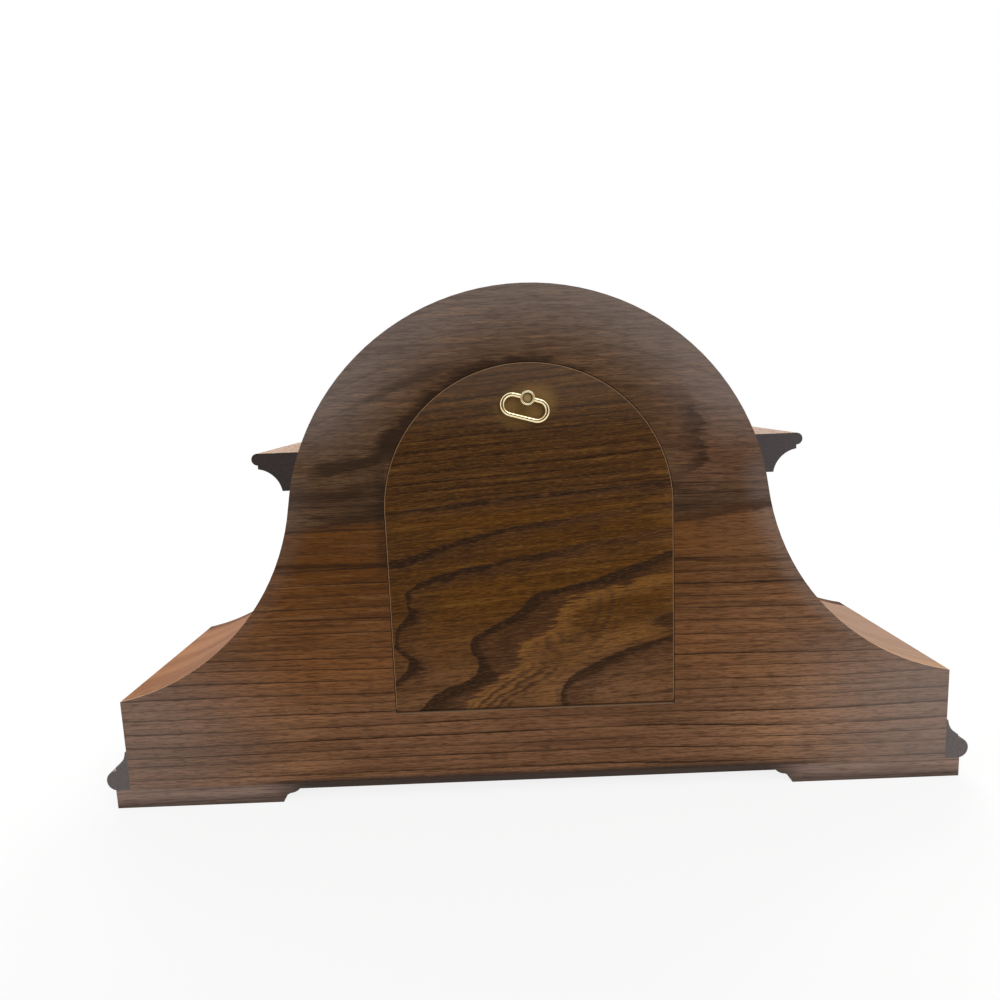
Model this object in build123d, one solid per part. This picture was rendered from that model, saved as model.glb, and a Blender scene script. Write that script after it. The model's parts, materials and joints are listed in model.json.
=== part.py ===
from build123d import *
import math
import os

# Bell-shaped shelf clock with a key-wound movement, in millimetres and degrees.
# +Z is up, the dial faces -Y and the access door faces +Y.
# The origin is on the shelf, under the centre of the whole clock.

# Case outline, heights above the shelf
CASE_WIDTH = 426.0
CASE_DEPTH = 128.0
ARCH_RADIUS = 120.0
ARCH_CENTRE_HEIGHT = 139.0
SHOULDER_HEIGHT = 58.4
FLANK_START_ANGLE = 8.5
FRONT_THICKNESS = 15.0
FRONT_EDGE_ROUND = 6.0
BACK_THICKNESS = 9.0
SKIN_THICKNESS = 6.0
END_THICKNESS = 9.0
BOTTOM_THICKNESS = 9.0

# Plinth and bracket feet
PLINTH_HEIGHT = 10.0
PLINTH_REACH = 7.5
PLINTH_RAIL_WIDTH = 20.0
FOOT_LENGTH = 87.0
FOOT_SIDE_LENGTH = 38.0
FOOT_CUT_HEIGHT = 7.2
FOOT_OGEE_RUN = 9.0

# Ogee of a foot: its turning point and its two bulges, in parts of the run and rise
OGEE_TURN_RUN = 0.5
OGEE_TURN_RISE = 0.68
OGEE_LOWER_RUN = 0.19
OGEE_LOWER_RISE = 0.48
OGEE_UPPER_RUN = 0.82
OGEE_UPPER_RISE = 0.81

# Base moulding, a torus under a small cove
BASE_MOULDING_HEIGHT = 21.0
BASE_MOULDING_REACH = 11.7
TORUS_RADIUS = 5.5
TORUS_FILLET = 2.0
COVE_TOP_EDGE = 0.8
COVE_SAG = 1.3

# Side cornices
CORNICE_TOP = 183.0
CORNICE_HEIGHT = 18.8
CORNICE_HALF_SPAN = 134.8
CORNICE_PROJECTION = 14.0
CORNICE_NOSE_RADIUS = 2.9
CORNICE_STEP = 1.9
CORNICE_COVE_SAG = 2.6
CORNICE_SETBACK = 2.0

# Access door in the back panel
DOOR_WIDTH = 143.0
DOOR_BOTTOM = 46.4
DOOR_STRAIGHT_HEIGHT = 104.0
DOOR_GAP = 0.4
DOOR_PIVOT_INSET = 2.5
DOOR_PIVOT_RADIUS = 1.25
DOOR_PIVOT_DEPTH = 8.0
MAGNET_WIDTH = 24.0
MAGNET_HEIGHT = 20.0
MAGNET_DEPTH = 7.0
MAGNET_OVERHANG = 8.0
STRIKE_PLATE_WIDTH = 18.0
STRIKE_PLATE_HEIGHT = 6.0
STRIKE_PLATE_THICKNESS = 1.2
STRIKE_PLATE_DROP = 1.6

# Ring pull on the door
STUD_DROP = 16.9
STUD_SIDE = -0.9
STUD_NECK_RADIUS = 2.9
STUD_HEAD_RADIUS = 3.5
STUD_CUP_RADIUS = 2.5
STUD_CUP_DEPTH = 1.3
STUD_NECK_LENGTH = 4.4
STUD_HEAD_LENGTH = 2.1
RING_WIDTH = 24.8
RING_HEIGHT = 12.2
RING_WIRE_RADIUS = 1.25
RING_STAND_OFF = 2.4
RING_TILT = 16.0

# Dial and hinged bezel
DIAL_RADIUS = 76.0
DIAL_THICKNESS = 1.2
DIAL_RECESS = 5.0
DIAL_CENTRE_HOLE = 5.0
WINDING_HOLE_RADIUS = 5.5
FRONT_OPENING_RADIUS = 46.0
BEZEL_INNER_RADIUS = 71.0
BEZEL_WIDTH = 12.0
BEZEL_OUTER_RADIUS = BEZEL_INNER_RADIUS + BEZEL_WIDTH
BEZEL_DEPTH = 6.6
BEZEL_EDGE = 1.5
BEZEL_GAP = 0.4
GLASS_LAP = 2.8
GLASS_EDGE_RADIUS = BEZEL_INNER_RADIUS + GLASS_LAP
GLASS_THICKNESS = 2.0
GLASS_RISE = 6.6
HINGE_KNUCKLE_RADIUS = 2.2
HINGE_PIN_RADIUS = 1.0
HINGE_HEIGHT = 24.0
HINGE_LEAF_WIDTH = 11.0
HINGE_LEAF_THICKNESS = 1.0
TAB_REACH = 6.0
TAB_HEIGHT = 12.0
TAB_THICKNESS = 2.6

# Movement frame
PLATE_WIDTH = 92.0
PLATE_ABOVE_CENTRE = 54.0
PLATE_BELOW_CENTRE = 76.0
PLATE_THICKNESS = 2.0
PLATE_CORNER_RADIUS = 6.0
PILLAR_LENGTH = 38.0
PILLAR_RADIUS = 3.8
PILLAR_INSET = 6.0
PILLAR_STUD_RADIUS = 2.0
NUT_RADIUS = 4.0
NUT_THICKNESS = 3.0
POST_LENGTH = 5.0
POST_RADIUS = 4.0

# Wheel train: teeth and modules
GREAT_WHEEL_TEETH = 100
CENTRE_PINION_LEAVES = 10
GREAT_MODULE = 0.66
CENTRE_WHEEL_TEETH = 80
THIRD_PINION_LEAVES = 10
CENTRE_MODULE = 0.5
THIRD_WHEEL_TEETH = 75
THIRD_MODULE = 0.4
CANNON_LEAVES = 12
MINUTE_WHEEL_TEETH = 36
CANNON_MODULE = 0.6
MINUTE_PINION_LEAVES = 10
HOUR_WHEEL_TEETH = 40

# Tooth forms: addendum and dedendum in modules, widths in parts of a pitch
WHEEL_FORM = (1.05, 1.35, 0.44, 0.15)
PINION_FORM = (0.75, 1.55, 0.36, 0.14)

# Wheel widths, and their places behind the front plate
WHEEL_THICKNESS = 1.5
BARREL_FRONT_GAP = 4.0
GREAT_WHEEL_WIDTH = 3.0
BARREL_DEPTH = 16.0
BARREL_WALL = 1.6
BARREL_CAP_THICKNESS = 1.0
MAINSPRING_GAP = 0.3
MAINSPRING_PACK = 14.0
WHEEL_RIM = 1.6
WHEEL_SPOKES = 4
SPOKE_WIDTH = 1.8
HUB_WALL = 3.0
PINION_OVERLAP = 1.2
CENTRE_WHEEL_GAP = 4.0
THIRD_WHEEL_LEAD = 10.0
ARBOR_RADIUS = 1.5
THIRD_ARBOR_RADIUS = 1.0
WINDING_ARBOR_RADIUS = 3.0
WINDING_SQUARE = 4.2
WINDING_SQUARE_LENGTH = 6.0
WINDING_RECESS = 1.5
RUNNING_CLEARANCE = 0.05
PRESS_CLEARANCE = 0.02

# Ratchet and click, in front of the front plate
RATCHET_TEETH = 20
RATCHET_RADIUS = 12.4
RATCHET_TOOTH_DEPTH = 1.6
RATCHET_THICKNESS = 2.0
RATCHET_BACK_GAP = 2.2
CLICK_PIVOT_SIDE = 20.0
CLICK_PIVOT_RISE = 16.3
CLICK_NOSE_ANGLE = 75.0
CLICK_NOSE_GAP = 0.5
CLICK_BOSS_RADIUS = 2.4
CLICK_STUD_RADIUS = 1.2
CLICK_SPRING_THICKNESS = 0.6
CLICK_SPRING_LENGTH = 14.0
CLICK_SPRING_GAP = 0.7
CLICK_SPRING_FOOT = 4.0

# Motion work, in front of the front plate
CANNON_PIPE_RADIUS = 2.3
HOUR_PIPE_RADIUS = 3.4
CANNON_CAM_RADIUS = 7.0
CANNON_CAM_BASE = 4.6
CAM_THICKNESS = 1.2
CAM_BACK_GAP = 0.4
MOTION_LAYER_GAP = 0.8
MINUTE_WHEEL_THICKNESS = 2.0
MINUTE_PINION_LENGTH = 4.5
MINUTE_STUD_RADIUS = 1.2
HOUR_WHEEL_GAP = 2.5
HOUR_HAND_GAP = 2.0
MINUTE_HAND_GAP = 1.2
HAND_THICKNESS = 1.0
HOUR_HAND_LENGTH = 42.0
MINUTE_HAND_LENGTH = 62.0
HAND_BOSS_RADIUS = 5.0
HAND_WIDTH = 2.6
HAND_SPADE_WIDTH = 9.0
HAND_SPADE_LENGTH = 12.6
HAND_NECK_FROM_TIP = 21.6
HAND_TAIL = 12.0
HAND_NUT_RADIUS = 3.4
HAND_NUT_THICKNESS = 2.0
HOUR_SHOWN = 10
MINUTE_SHOWN = 10

# Escapement platform on the back plate
PLATFORM_WIDTH = 36.0
PLATFORM_BELOW = 8.5
PLATFORM_ABOVE = 29.5
PLATFORM_THICKNESS = 8.0
BALANCE_RISE = 14.0
BALANCE_RADIUS = 12.0
BALANCE_RIM = 1.8
BALANCE_THICKNESS = 1.5
BALANCE_GAP = 2.5
BALANCE_HUB_RADIUS = 2.0
STAFF_RADIUS = 0.8
STAFF_SEAT_DEPTH = 2.5
HAIRSPRING_GAP = 1.2
HAIRSPRING_WIRE_RADIUS = 0.25
HAIRSPRING_PITCH = 1.1
HAIRSPRING_TURNS = 4
COCK_GAP = 1.4
COCK_THICKNESS = 2.5
COCK_FOOT_RADIUS = 3.2
COCK_FOOT_SIDE = 13.5
COCK_FOOT_RISE = 10.0
COCK_ARM_WIDTH = 5.0

# Hour strike: hammer on an arbor, and a gong of rods
HAMMER_ARBOR_SIDE = 34.0
HAMMER_ARBOR_DROP = 60.0
HAMMER_ARM_WIDTH = 3.0
HAMMER_ARM_THICKNESS = 2.4
HAMMER_COLLAR_RADIUS = 3.0
HAMMER_COLLAR_LENGTH = 4.0
HAMMER_HEAD_SIDE = 24.0
HAMMER_HEAD_RADIUS = 4.2
HAMMER_HEAD_LENGTH = 10.0
HAMMER_REST_GAP = 0.9
TAIL_GAP = 0.4
GONG_ROD_RADIUS = 2.0
GONG_ROD_SPACING = 10.0
GONG_ROD_HEIGHT = 37.0
GONG_ROD_LENGTHS = (175.0, 155.0)
GONG_ROD_SEAT = 8.0
GONG_BLOCK_LENGTH = 22.0
GONG_BLOCK_WIDTH = 26.0
GONG_BLOCK_CROWN = 9.0
GONG_BLOCK_SIDE = 82.0

# Places worked out from the sizes above
half_width = CASE_WIDTH / 2
rear_reach = STUD_NECK_LENGTH + STUD_HEAD_LENGTH
glass_reach = BEZEL_GAP + BEZEL_DEPTH / 2 + GLASS_RISE
front_reach = max(BASE_MOULDING_REACH, PLINTH_REACH, glass_reach, BEZEL_GAP + BEZEL_DEPTH)
front_y = -(CASE_DEPTH + rear_reach - front_reach) / 2
back_y = front_y + CASE_DEPTH
board_back_y = front_y + FRONT_THICKNESS
panel_inner_y = back_y - BACK_THICKNESS
dial_z = ARCH_CENTRE_HEIGHT
floor_z = PLINTH_HEIGHT + BOTTOM_THICKNESS

dial_back_y = front_y + DIAL_RECESS
dial_front_y = dial_back_y - DIAL_THICKNESS
hour_hand_y = dial_front_y - HOUR_HAND_GAP
minute_hand_y = hour_hand_y - HAND_THICKNESS - MINUTE_HAND_GAP
nut_y = minute_hand_y - HAND_THICKNESS

plate_front_y = board_back_y + POST_LENGTH
plate_inner_y = plate_front_y + PLATE_THICKNESS
back_plate_y = plate_inner_y + PILLAR_LENGTH
movement_rear_y = back_plate_y + PLATE_THICKNESS

great_distance = (GREAT_WHEEL_TEETH + CENTRE_PINION_LEAVES) * GREAT_MODULE / 2
third_distance = (CENTRE_WHEEL_TEETH + THIRD_PINION_LEAVES) * CENTRE_MODULE / 2
minute_distance = (CANNON_LEAVES + MINUTE_WHEEL_TEETH) * CANNON_MODULE / 2
hour_module = 2 * minute_distance / (MINUTE_PINION_LEAVES + HOUR_WHEEL_TEETH)
barrel_z = dial_z - great_distance
third_z = dial_z + third_distance
balance_z = third_z + BALANCE_RISE

great_y = plate_inner_y + BARREL_FRONT_GAP
drum_y = great_y + GREAT_WHEEL_WIDTH
cap_y = drum_y + BARREL_DEPTH
centre_wheel_y = cap_y + BARREL_CAP_THICKNESS + CENTRE_WHEEL_GAP
third_wheel_y = centre_wheel_y - THIRD_WHEEL_LEAD
barrel_radius = (GREAT_WHEEL_TEETH / 2 - WHEEL_FORM[1]) * GREAT_MODULE
drum_radius = barrel_radius - BARREL_WALL

cam_y = plate_front_y - CAM_BACK_GAP - CAM_THICKNESS
minute_wheel_y = cam_y - MOTION_LAYER_GAP - MINUTE_WHEEL_THICKNESS
minute_pinion_y = minute_wheel_y - MINUTE_PINION_LENGTH
hour_wheel_y = minute_wheel_y - HOUR_WHEEL_GAP - WHEEL_THICKNESS
ratchet_y = plate_front_y - RATCHET_BACK_GAP - RATCHET_THICKNESS

platform_y = movement_rear_y + PLATFORM_THICKNESS
balance_y = platform_y + BALANCE_GAP
hairspring_y = balance_y + BALANCE_THICKNESS + HAIRSPRING_GAP
cock_y = hairspring_y + HAIRSPRING_WIRE_RADIUS + COCK_GAP

hammer_arbor_x = -HAMMER_ARBOR_SIDE
hammer_arbor_z = dial_z - HAMMER_ARBOR_DROP
hammer_head_x = hammer_arbor_x - HAMMER_HEAD_SIDE
gong_y = (movement_rear_y + panel_inner_y) / 2
gong_z = floor_z + GONG_ROD_HEIGHT
gong_rod_ys = [gong_y + side * GONG_ROD_SPACING / 2 for side in (-1, 1)]

door_half = DOOR_WIDTH / 2
door_spring_z = DOOR_BOTTOM + DOOR_STRAIGHT_HEIGHT
door_top_z = door_spring_z + door_half
door_pivot_y = back_y - DOOR_PIVOT_INSET
door_pivot_z = DOOR_BOTTOM + DOOR_PIVOT_INSET
stud_z = door_top_z - STUD_DROP
ring_y = back_y + RING_STAND_OFF

hinge_x = BEZEL_OUTER_RADIUS + HINGE_KNUCKLE_RADIUS + BEZEL_GAP
hinge_y = front_y - HINGE_KNUCKLE_RADIUS

# The flank arc is tangent to the arch and meets the shoulder corner
flank_dir = Vector(math.cos(math.radians(FLANK_START_ANGLE)), math.sin(math.radians(FLANK_START_ANGLE)))
corner_from_arch = Vector(half_width, SHOULDER_HEIGHT - dial_z)
corner_along = flank_dir.dot(corner_from_arch)
corner_sq = corner_from_arch.dot(corner_from_arch)
corner_to_arch_sq = ARCH_RADIUS**2 + corner_sq - 2 * ARCH_RADIUS * corner_along
flank_radius = corner_to_arch_sq / (2 * (corner_along - ARCH_RADIUS))
flank_x = (ARCH_RADIUS + flank_radius) * flank_dir.X
flank_z = dial_z + (ARCH_RADIUS + flank_radius) * flank_dir.Y


# Solids from outlines and sizes
def along_y(profile, y_start, y_end):
    """Extrude an outline drawn in (x, z) from y_start to y_end."""
    plane = Plane((0, y_end, 0), x_dir=(1, 0, 0), z_dir=(0, -1, 0))
    return extrude(plane * profile, amount=y_end - y_start)


def along_x(profile, x_start, x_end):
    """Extrude an outline drawn in (-y, z) from x_start to x_end."""
    plane = Plane((x_end, 0, 0), x_dir=(0, -1, 0), z_dir=(-1, 0, 0))
    return extrude(plane * profile, amount=x_end - x_start)


def disc(radius, y_start, y_end, x=0.0, z=0.0):
    return along_y(Pos(x, z) * Circle(radius), y_start, y_end)


def tube(outer, inner, y_start, y_end, x=0.0, z=0.0):
    return along_y(Pos(x, z) * (Circle(outer) - Circle(inner)), y_start, y_end)


def block(x_span, y_span, z_span):
    spans = (x_span, y_span, z_span)
    middle = [(low + high) / 2 for low, high in spans]
    return Pos(*middle) * Box(*[high - low for low, high in spans])


def spin(profile):
    """Turn an outline drawn in (radius, y) about the dial's axis."""
    return revolve(Pos(0, 0, dial_z) * profile, Axis((0, 0, dial_z), (0, 1, 0)))


def mirrored(solid):
    return mirror(solid, about=Plane.YZ)


def outline(*curves):
    return make_face([edge for curve in curves for edge in curve.edges()])


def bar(start, end, width):
    """A straight strip between two points, with square ends."""
    run = Vector(*end) - Vector(*start)
    middle = (Vector(*start) + Vector(*end)) * 0.5
    turn = Rot(0, 0, math.degrees(math.atan2(run.Y, run.X)))
    return Pos(middle.X, middle.Y) * turn * Rectangle(run.length, width)


def polar(radius, degrees):
    return radius * math.cos(math.radians(degrees)), radius * math.sin(math.radians(degrees))


def gear(teeth, module, form, tooth_at):
    """A toothed outline with radial flanks, one tooth centred at the angle tooth_at."""
    addendum, dedendum, pitch_width, tip_width = form
    pitch_radius = teeth * module / 2
    step = 360 / teeth
    flank = [(pitch_radius - dedendum * module, pitch_width), (pitch_radius, pitch_width)]
    flank.append((pitch_radius + addendum * module, tip_width))
    points = []
    for tooth in range(teeth):
        centre = tooth_at + tooth * step
        points += [polar(radius, centre - width * step / 2) for radius, width in flank]
        points += [polar(radius, centre + width * step / 2) for radius, width in reversed(flank)]
    return make_face(Polyline(*points, close=True))


# Case
def case_face(inset=0.0):
    """The bell outline, with its curved top moved inwards by inset."""
    arch = ARCH_RADIUS - inset
    flank = flank_radius + inset
    corner_z = flank_z - math.sqrt(flank**2 - (half_width - flank_x) ** 2)
    tangent = (arch * flank_dir.X, dial_z + arch * flank_dir.Y)
    start = 180 + FLANK_START_ANGLE
    end = 360 + math.degrees(math.atan2(corner_z - flank_z, half_width - flank_x))
    waist = polar(flank, (start + end) / 2)
    waist = (flank_x + waist[0], flank_z + waist[1])
    corner = (half_width, corner_z)
    bottom = (half_width, PLINTH_HEIGHT)

    def left(point):
        return -point[0], point[1]

    return outline(
        Line(left(bottom), bottom),
        Line(bottom, corner),
        ThreePointArc(corner, waist, tangent),
        ThreePointArc(tangent, (0, dial_z + arch), left(tangent)),
        ThreePointArc(left(tangent), left(waist), left(corner)),
        Line(left(corner), left(bottom)),
    )


def door_face(grow=0.0):
    half = door_half + grow
    bottom = DOOR_BOTTOM - grow
    return outline(
        Line((-half, bottom), (half, bottom)),
        Line((half, bottom), (half, door_spring_z)),
        ThreePointArc((half, door_spring_z), (0, door_spring_z + half), (-half, door_spring_z)),
        Line((-half, door_spring_z), (-half, bottom)),
    )


def make_front_board():
    board = along_y(case_face(), front_y, board_back_y)
    front_edges = board.edges().filter_by_position(Axis.Y, front_y, front_y)
    rounded = [edge for edge in front_edges if edge.center().Z > PLINTH_HEIGHT + PRESS_CLEARANCE]
    board = fillet(rounded, min(FRONT_EDGE_ROUND, FRONT_THICKNESS / 2))
    board -= disc(FRONT_OPENING_RADIUS, front_y, board_back_y, z=dial_z)
    return board - disc(DIAL_RADIUS + BEZEL_GAP, front_y, dial_back_y, z=dial_z)


def make_back_panel():
    panel = along_y(case_face(), panel_inner_y, back_y)
    panel -= along_y(door_face(DOOR_GAP), panel_inner_y, back_y)
    return panel - door_pins(PRESS_CLEARANCE)


def door_pins(clearance):
    """Two pins across the door's bottom corners, half in the door and half in the panel."""
    inner = door_half - DOOR_PIVOT_DEPTH
    outer = door_half + DOOR_GAP + DOOR_PIVOT_DEPTH
    place = Pos(-door_pivot_y, door_pivot_z) * Circle(DOOR_PIVOT_RADIUS + clearance)
    right = along_x(place, inner - clearance, outer + clearance)
    return right + mirrored(right)


def skin_cut():
    """A cutter that holds the arch above the ends of the flanks."""
    split_z = dial_z + ARCH_RADIUS * flank_dir.Y
    z_span = (split_z, split_z + 2 * ARCH_RADIUS)
    return block((-CASE_WIDTH, CASE_WIDTH), (board_back_y, panel_inner_y), z_span)


def make_skin():
    return along_y(case_face() - case_face(SKIN_THICKNESS), board_back_y, panel_inner_y)


def make_arch_skin():
    return make_skin() & skin_cut()


def make_right_shoulder():
    half_space = block((0, CASE_WIDTH), (board_back_y, panel_inner_y), (0, 2 * CASE_WIDTH))
    return (make_skin() - skin_cut()) & half_space


def make_right_end():
    """An upright board that fits under the end of the shoulder skin."""
    x_span = (half_width - END_THICKNESS, half_width)
    board = block(x_span, (board_back_y, panel_inner_y), (PLINTH_HEIGHT, dial_z))
    return board & along_y(case_face(SKIN_THICKNESS), board_back_y, panel_inner_y)


def make_bottom_board():
    inside = half_width - END_THICKNESS
    return block((-inside, inside), (board_back_y, panel_inner_y), (PLINTH_HEIGHT, floor_z))


# Mouldings and plinth
def cornice_face(tip):
    """The cornice outline, with its nose at x = tip: bullnose, fillet, cove and soffit."""
    bottom = CORNICE_TOP - CORNICE_HEIGHT
    nose = tip - CORNICE_NOSE_RADIUS
    nose_bottom = CORNICE_TOP - 2 * CORNICE_NOSE_RADIUS
    cove_start = Vector(nose, nose_bottom - CORNICE_STEP)
    cove_end = Vector(tip - CORNICE_PROJECTION, bottom)
    chord = cove_end - cove_start
    sag = Vector(chord.Y, -chord.X).normalized() * CORNICE_COVE_SAG
    cove_middle = (cove_start + cove_end) * 0.5 + sag
    inner = tip - CORNICE_PROJECTION - ARCH_RADIUS / 2
    return outline(
        Line((inner, bottom), (inner, CORNICE_TOP)),
        Line((inner, CORNICE_TOP), (nose, CORNICE_TOP)),
        ThreePointArc((nose, CORNICE_TOP), (tip, CORNICE_TOP - CORNICE_NOSE_RADIUS), (nose, nose_bottom)),
        Line((nose, nose_bottom), cove_start),
        ThreePointArc(cove_start, cove_middle, cove_end),
        Line(cove_end, (inner, bottom)),
    )


def make_right_cornice():
    nose_y = front_y + CORNICE_SETBACK
    side = along_y(cornice_face(CORNICE_HALF_SPAN), nose_y, back_y)
    front = along_x(cornice_face(-nose_y), 0, CASE_WIDTH)
    front += block((0, CASE_WIDTH), (nose_y + CORNICE_PROJECTION, back_y), (0, CORNICE_TOP))
    return (side & front) - along_y(case_face(), front_y, back_y)


def base_moulding_face():
    """The base moulding outline: x outwards from the case, y up from the plinth."""
    torus_top = 2 * TORUS_RADIUS
    inset = BASE_MOULDING_REACH - TORUS_RADIUS
    cove_start = Vector(inset, torus_top + TORUS_FILLET)
    cove_end = Vector(COVE_TOP_EDGE, BASE_MOULDING_HEIGHT)
    chord = cove_end - cove_start
    cove_middle = (cove_start + cove_end) * 0.5 + Vector(-chord.Y, chord.X).normalized() * COVE_SAG
    return outline(
        Line((0, 0), (inset, 0)),
        ThreePointArc((inset, 0), (BASE_MOULDING_REACH, TORUS_RADIUS), (inset, torus_top)),
        Line((inset, torus_top), cove_start),
        ThreePointArc(cove_start, cove_middle, cove_end),
        Line(cove_end, (0, BASE_MOULDING_HEIGHT)),
        Line((0, BASE_MOULDING_HEIGHT), (0, 0)),
    )


def mitre(side):
    """The mitre plane at a front corner; its normal points to the side piece."""
    return Plane((side * half_width, front_y, 0), z_dir=(side, 1, 0))


def make_right_base_moulding():
    run = along_y(Pos(half_width, PLINTH_HEIGHT) * base_moulding_face(), front_y - CASE_DEPTH, back_y)
    return split(run, bisect_by=mitre(1), keep=Keep.TOP)


def make_front_base_moulding():
    run = along_x(Pos(-front_y, PLINTH_HEIGHT) * base_moulding_face(), -CASE_WIDTH, CASE_WIDTH)
    run = split(run, bisect_by=mitre(1), keep=Keep.BOTTOM)
    return split(run, bisect_by=mitre(-1), keep=Keep.BOTTOM)


def foot_cut(low, high):
    """The gap under a rail from low to high, rising to FOOT_CUT_HEIGHT in an ogee at each end."""
    run = FOOT_OGEE_RUN
    rise = FOOT_CUT_HEIGHT

    def ogee(foot, inward):
        def place(run_part, rise_part):
            return foot + inward * run * run_part, rise * rise_part

        turn = place(OGEE_TURN_RUN, OGEE_TURN_RISE)
        lower = ThreePointArc((foot, 0), place(OGEE_LOWER_RUN, OGEE_LOWER_RISE), turn)
        upper = ThreePointArc(turn, place(OGEE_UPPER_RUN, OGEE_UPPER_RISE), place(1, 1))
        return lower, upper

    top = Line((low + run, rise), (high - run, rise))
    return outline(Line((low, 0), (high, 0)), *ogee(low, 1), top, *ogee(high, -1))


plinth_half = half_width + PLINTH_REACH
plinth_front_y = front_y - PLINTH_REACH
front_rail_y = plinth_front_y + PLINTH_RAIL_WIDTH
rear_rail_y = back_y - PLINTH_RAIL_WIDTH


def make_plinth_rail(y_start, y_end):
    rail = block((-plinth_half, plinth_half), (y_start, y_end), (0, PLINTH_HEIGHT))
    gap = plinth_half - FOOT_LENGTH
    return rail - along_y(foot_cut(-gap, gap), y_start, y_end)


def make_right_plinth_rail():
    x_span = (plinth_half - PLINTH_RAIL_WIDTH, plinth_half)
    rail = block(x_span, (front_rail_y, rear_rail_y), (0, PLINTH_HEIGHT))
    gap = foot_cut(-(back_y - FOOT_SIDE_LENGTH), -(plinth_front_y + FOOT_SIDE_LENGTH))
    return rail - along_x(gap, *x_span)


# Access door
def make_door():
    door = along_y(door_face(), panel_inner_y, back_y)
    bottom_edge = door.edges().filter_by(Axis.X).sort_by(Axis.Y)[-1]
    door = fillet(bottom_edge, DOOR_PIVOT_INSET)
    door -= strike_plate()
    return door - door_pins(RUNNING_CLEARANCE)


def strike_plate():
    top = door_top_z - STRIKE_PLATE_DROP
    half = STRIKE_PLATE_WIDTH / 2
    y_span = (panel_inner_y, panel_inner_y + STRIKE_PLATE_THICKNESS)
    return block((-half, half), y_span, (top - STRIKE_PLATE_HEIGHT, top))


def make_magnet():
    half = MAGNET_WIDTH / 2
    bottom = door_top_z - MAGNET_OVERHANG
    y_span = (panel_inner_y - MAGNET_DEPTH, panel_inner_y)
    return block((-half, half), y_span, (bottom, bottom + MAGNET_HEIGHT))


ring_plane = Plane(
    (STUD_SIDE, ring_y, stud_z),
    x_dir=(math.cos(math.radians(RING_TILT)), 0, math.sin(math.radians(RING_TILT))),
    z_dir=(0, -1, 0),
)


def make_stud():
    head_y = back_y + STUD_NECK_LENGTH
    end_y = head_y + STUD_HEAD_LENGTH
    stud = disc(STUD_NECK_RADIUS, back_y, head_y, STUD_SIDE, stud_z)
    stud += disc(STUD_HEAD_RADIUS, head_y, end_y, STUD_SIDE, stud_z)
    stud -= disc(STUD_CUP_RADIUS, end_y - STUD_CUP_DEPTH, end_y, STUD_SIDE, stud_z)
    rim = stud.edges().filter_by(GeomType.CIRCLE).filter_by_position(Axis.Y, end_y, end_y)
    stud = fillet(rim, (STUD_HEAD_RADIUS - STUD_CUP_RADIUS) / 3)
    hole = Circle(RING_WIRE_RADIUS + RUNNING_CLEARANCE)
    across = Plane(ring_plane.origin, z_dir=ring_plane.x_dir)
    return stud - extrude(across * hole, amount=STUD_HEAD_RADIUS, both=True)


def make_ring():
    """An oval of round wire whose upper straight run passes through the stud."""
    end_radius = RING_HEIGHT / 2 - RING_WIRE_RADIUS
    straight = (RING_WIDTH - RING_HEIGHT) / 2
    low = -2 * end_radius
    far = straight + end_radius
    path = [
        Line((-straight, 0), (straight, 0)),
        ThreePointArc((straight, 0), (far, low / 2), (straight, low)),
        Line((straight, low), (-straight, low)),
        ThreePointArc((-straight, low), (-far, low / 2), (-straight, 0)),
    ]
    wire = Wire([edge for curve in path for edge in curve.edges()])
    section = Plane((-straight, 0, 0), z_dir=(1, 0, 0)) * Circle(RING_WIRE_RADIUS)
    return ring_plane.location * sweep(section, path=wire)


# Dial and bezel
def make_dial():
    dial = disc(DIAL_RADIUS, dial_front_y, dial_back_y, z=dial_z)
    dial -= disc(DIAL_CENTRE_HOLE, dial_front_y, dial_back_y, z=dial_z)
    return dial - disc(WINDING_HOLE_RADIUS, dial_front_y, dial_back_y, z=barrel_z)


bezel_back_y = front_y - BEZEL_GAP
bezel_front_y = bezel_back_y - BEZEL_DEPTH
glass_seat_y = bezel_back_y - BEZEL_DEPTH / 2


def make_bezel():
    """A rounded ring with a seat for the glass behind its inner edge."""
    seat = GLASS_EDGE_RADIUS + PRESS_CLEARANCE
    inner = (BEZEL_INNER_RADIUS, glass_seat_y)
    crown = ((BEZEL_INNER_RADIUS + BEZEL_OUTER_RADIUS) / 2, bezel_front_y)
    outer = (BEZEL_OUTER_RADIUS, bezel_back_y - BEZEL_EDGE)
    return spin(
        outline(
            ThreePointArc(inner, crown, outer),
            Line(outer, (BEZEL_OUTER_RADIUS, bezel_back_y)),
            Line((BEZEL_OUTER_RADIUS, bezel_back_y), (seat, bezel_back_y)),
            Line((seat, bezel_back_y), (seat, glass_seat_y)),
            Line((seat, glass_seat_y), inner),
        )
    )


def make_glass():
    """A domed glass with a flat rim that sits behind the bezel's inner edge."""
    rim = BEZEL_INNER_RADIUS - BEZEL_GAP
    rim_back_y = glass_seat_y + GLASS_THICKNESS
    apex_y = glass_seat_y - GLASS_RISE

    def dome(edge_y, top_y):
        chord_middle = rim / 2
        radius = (rim**2 + GLASS_RISE**2) / (2 * GLASS_RISE)
        middle_y = top_y + radius - math.sqrt(radius**2 - chord_middle**2)
        return ThreePointArc((0, top_y), (chord_middle, middle_y), (rim, edge_y))

    return spin(
        outline(
            dome(glass_seat_y, apex_y),
            Line((rim, glass_seat_y), (GLASS_EDGE_RADIUS, glass_seat_y)),
            Line((GLASS_EDGE_RADIUS, glass_seat_y), (GLASS_EDGE_RADIUS, rim_back_y)),
            Line((GLASS_EDGE_RADIUS, rim_back_y), (rim, rim_back_y)),
            dome(rim_back_y, apex_y + GLASS_THICKNESS),
            Line((0, apex_y + GLASS_THICKNESS), (0, apex_y)),
        )
    )


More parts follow.
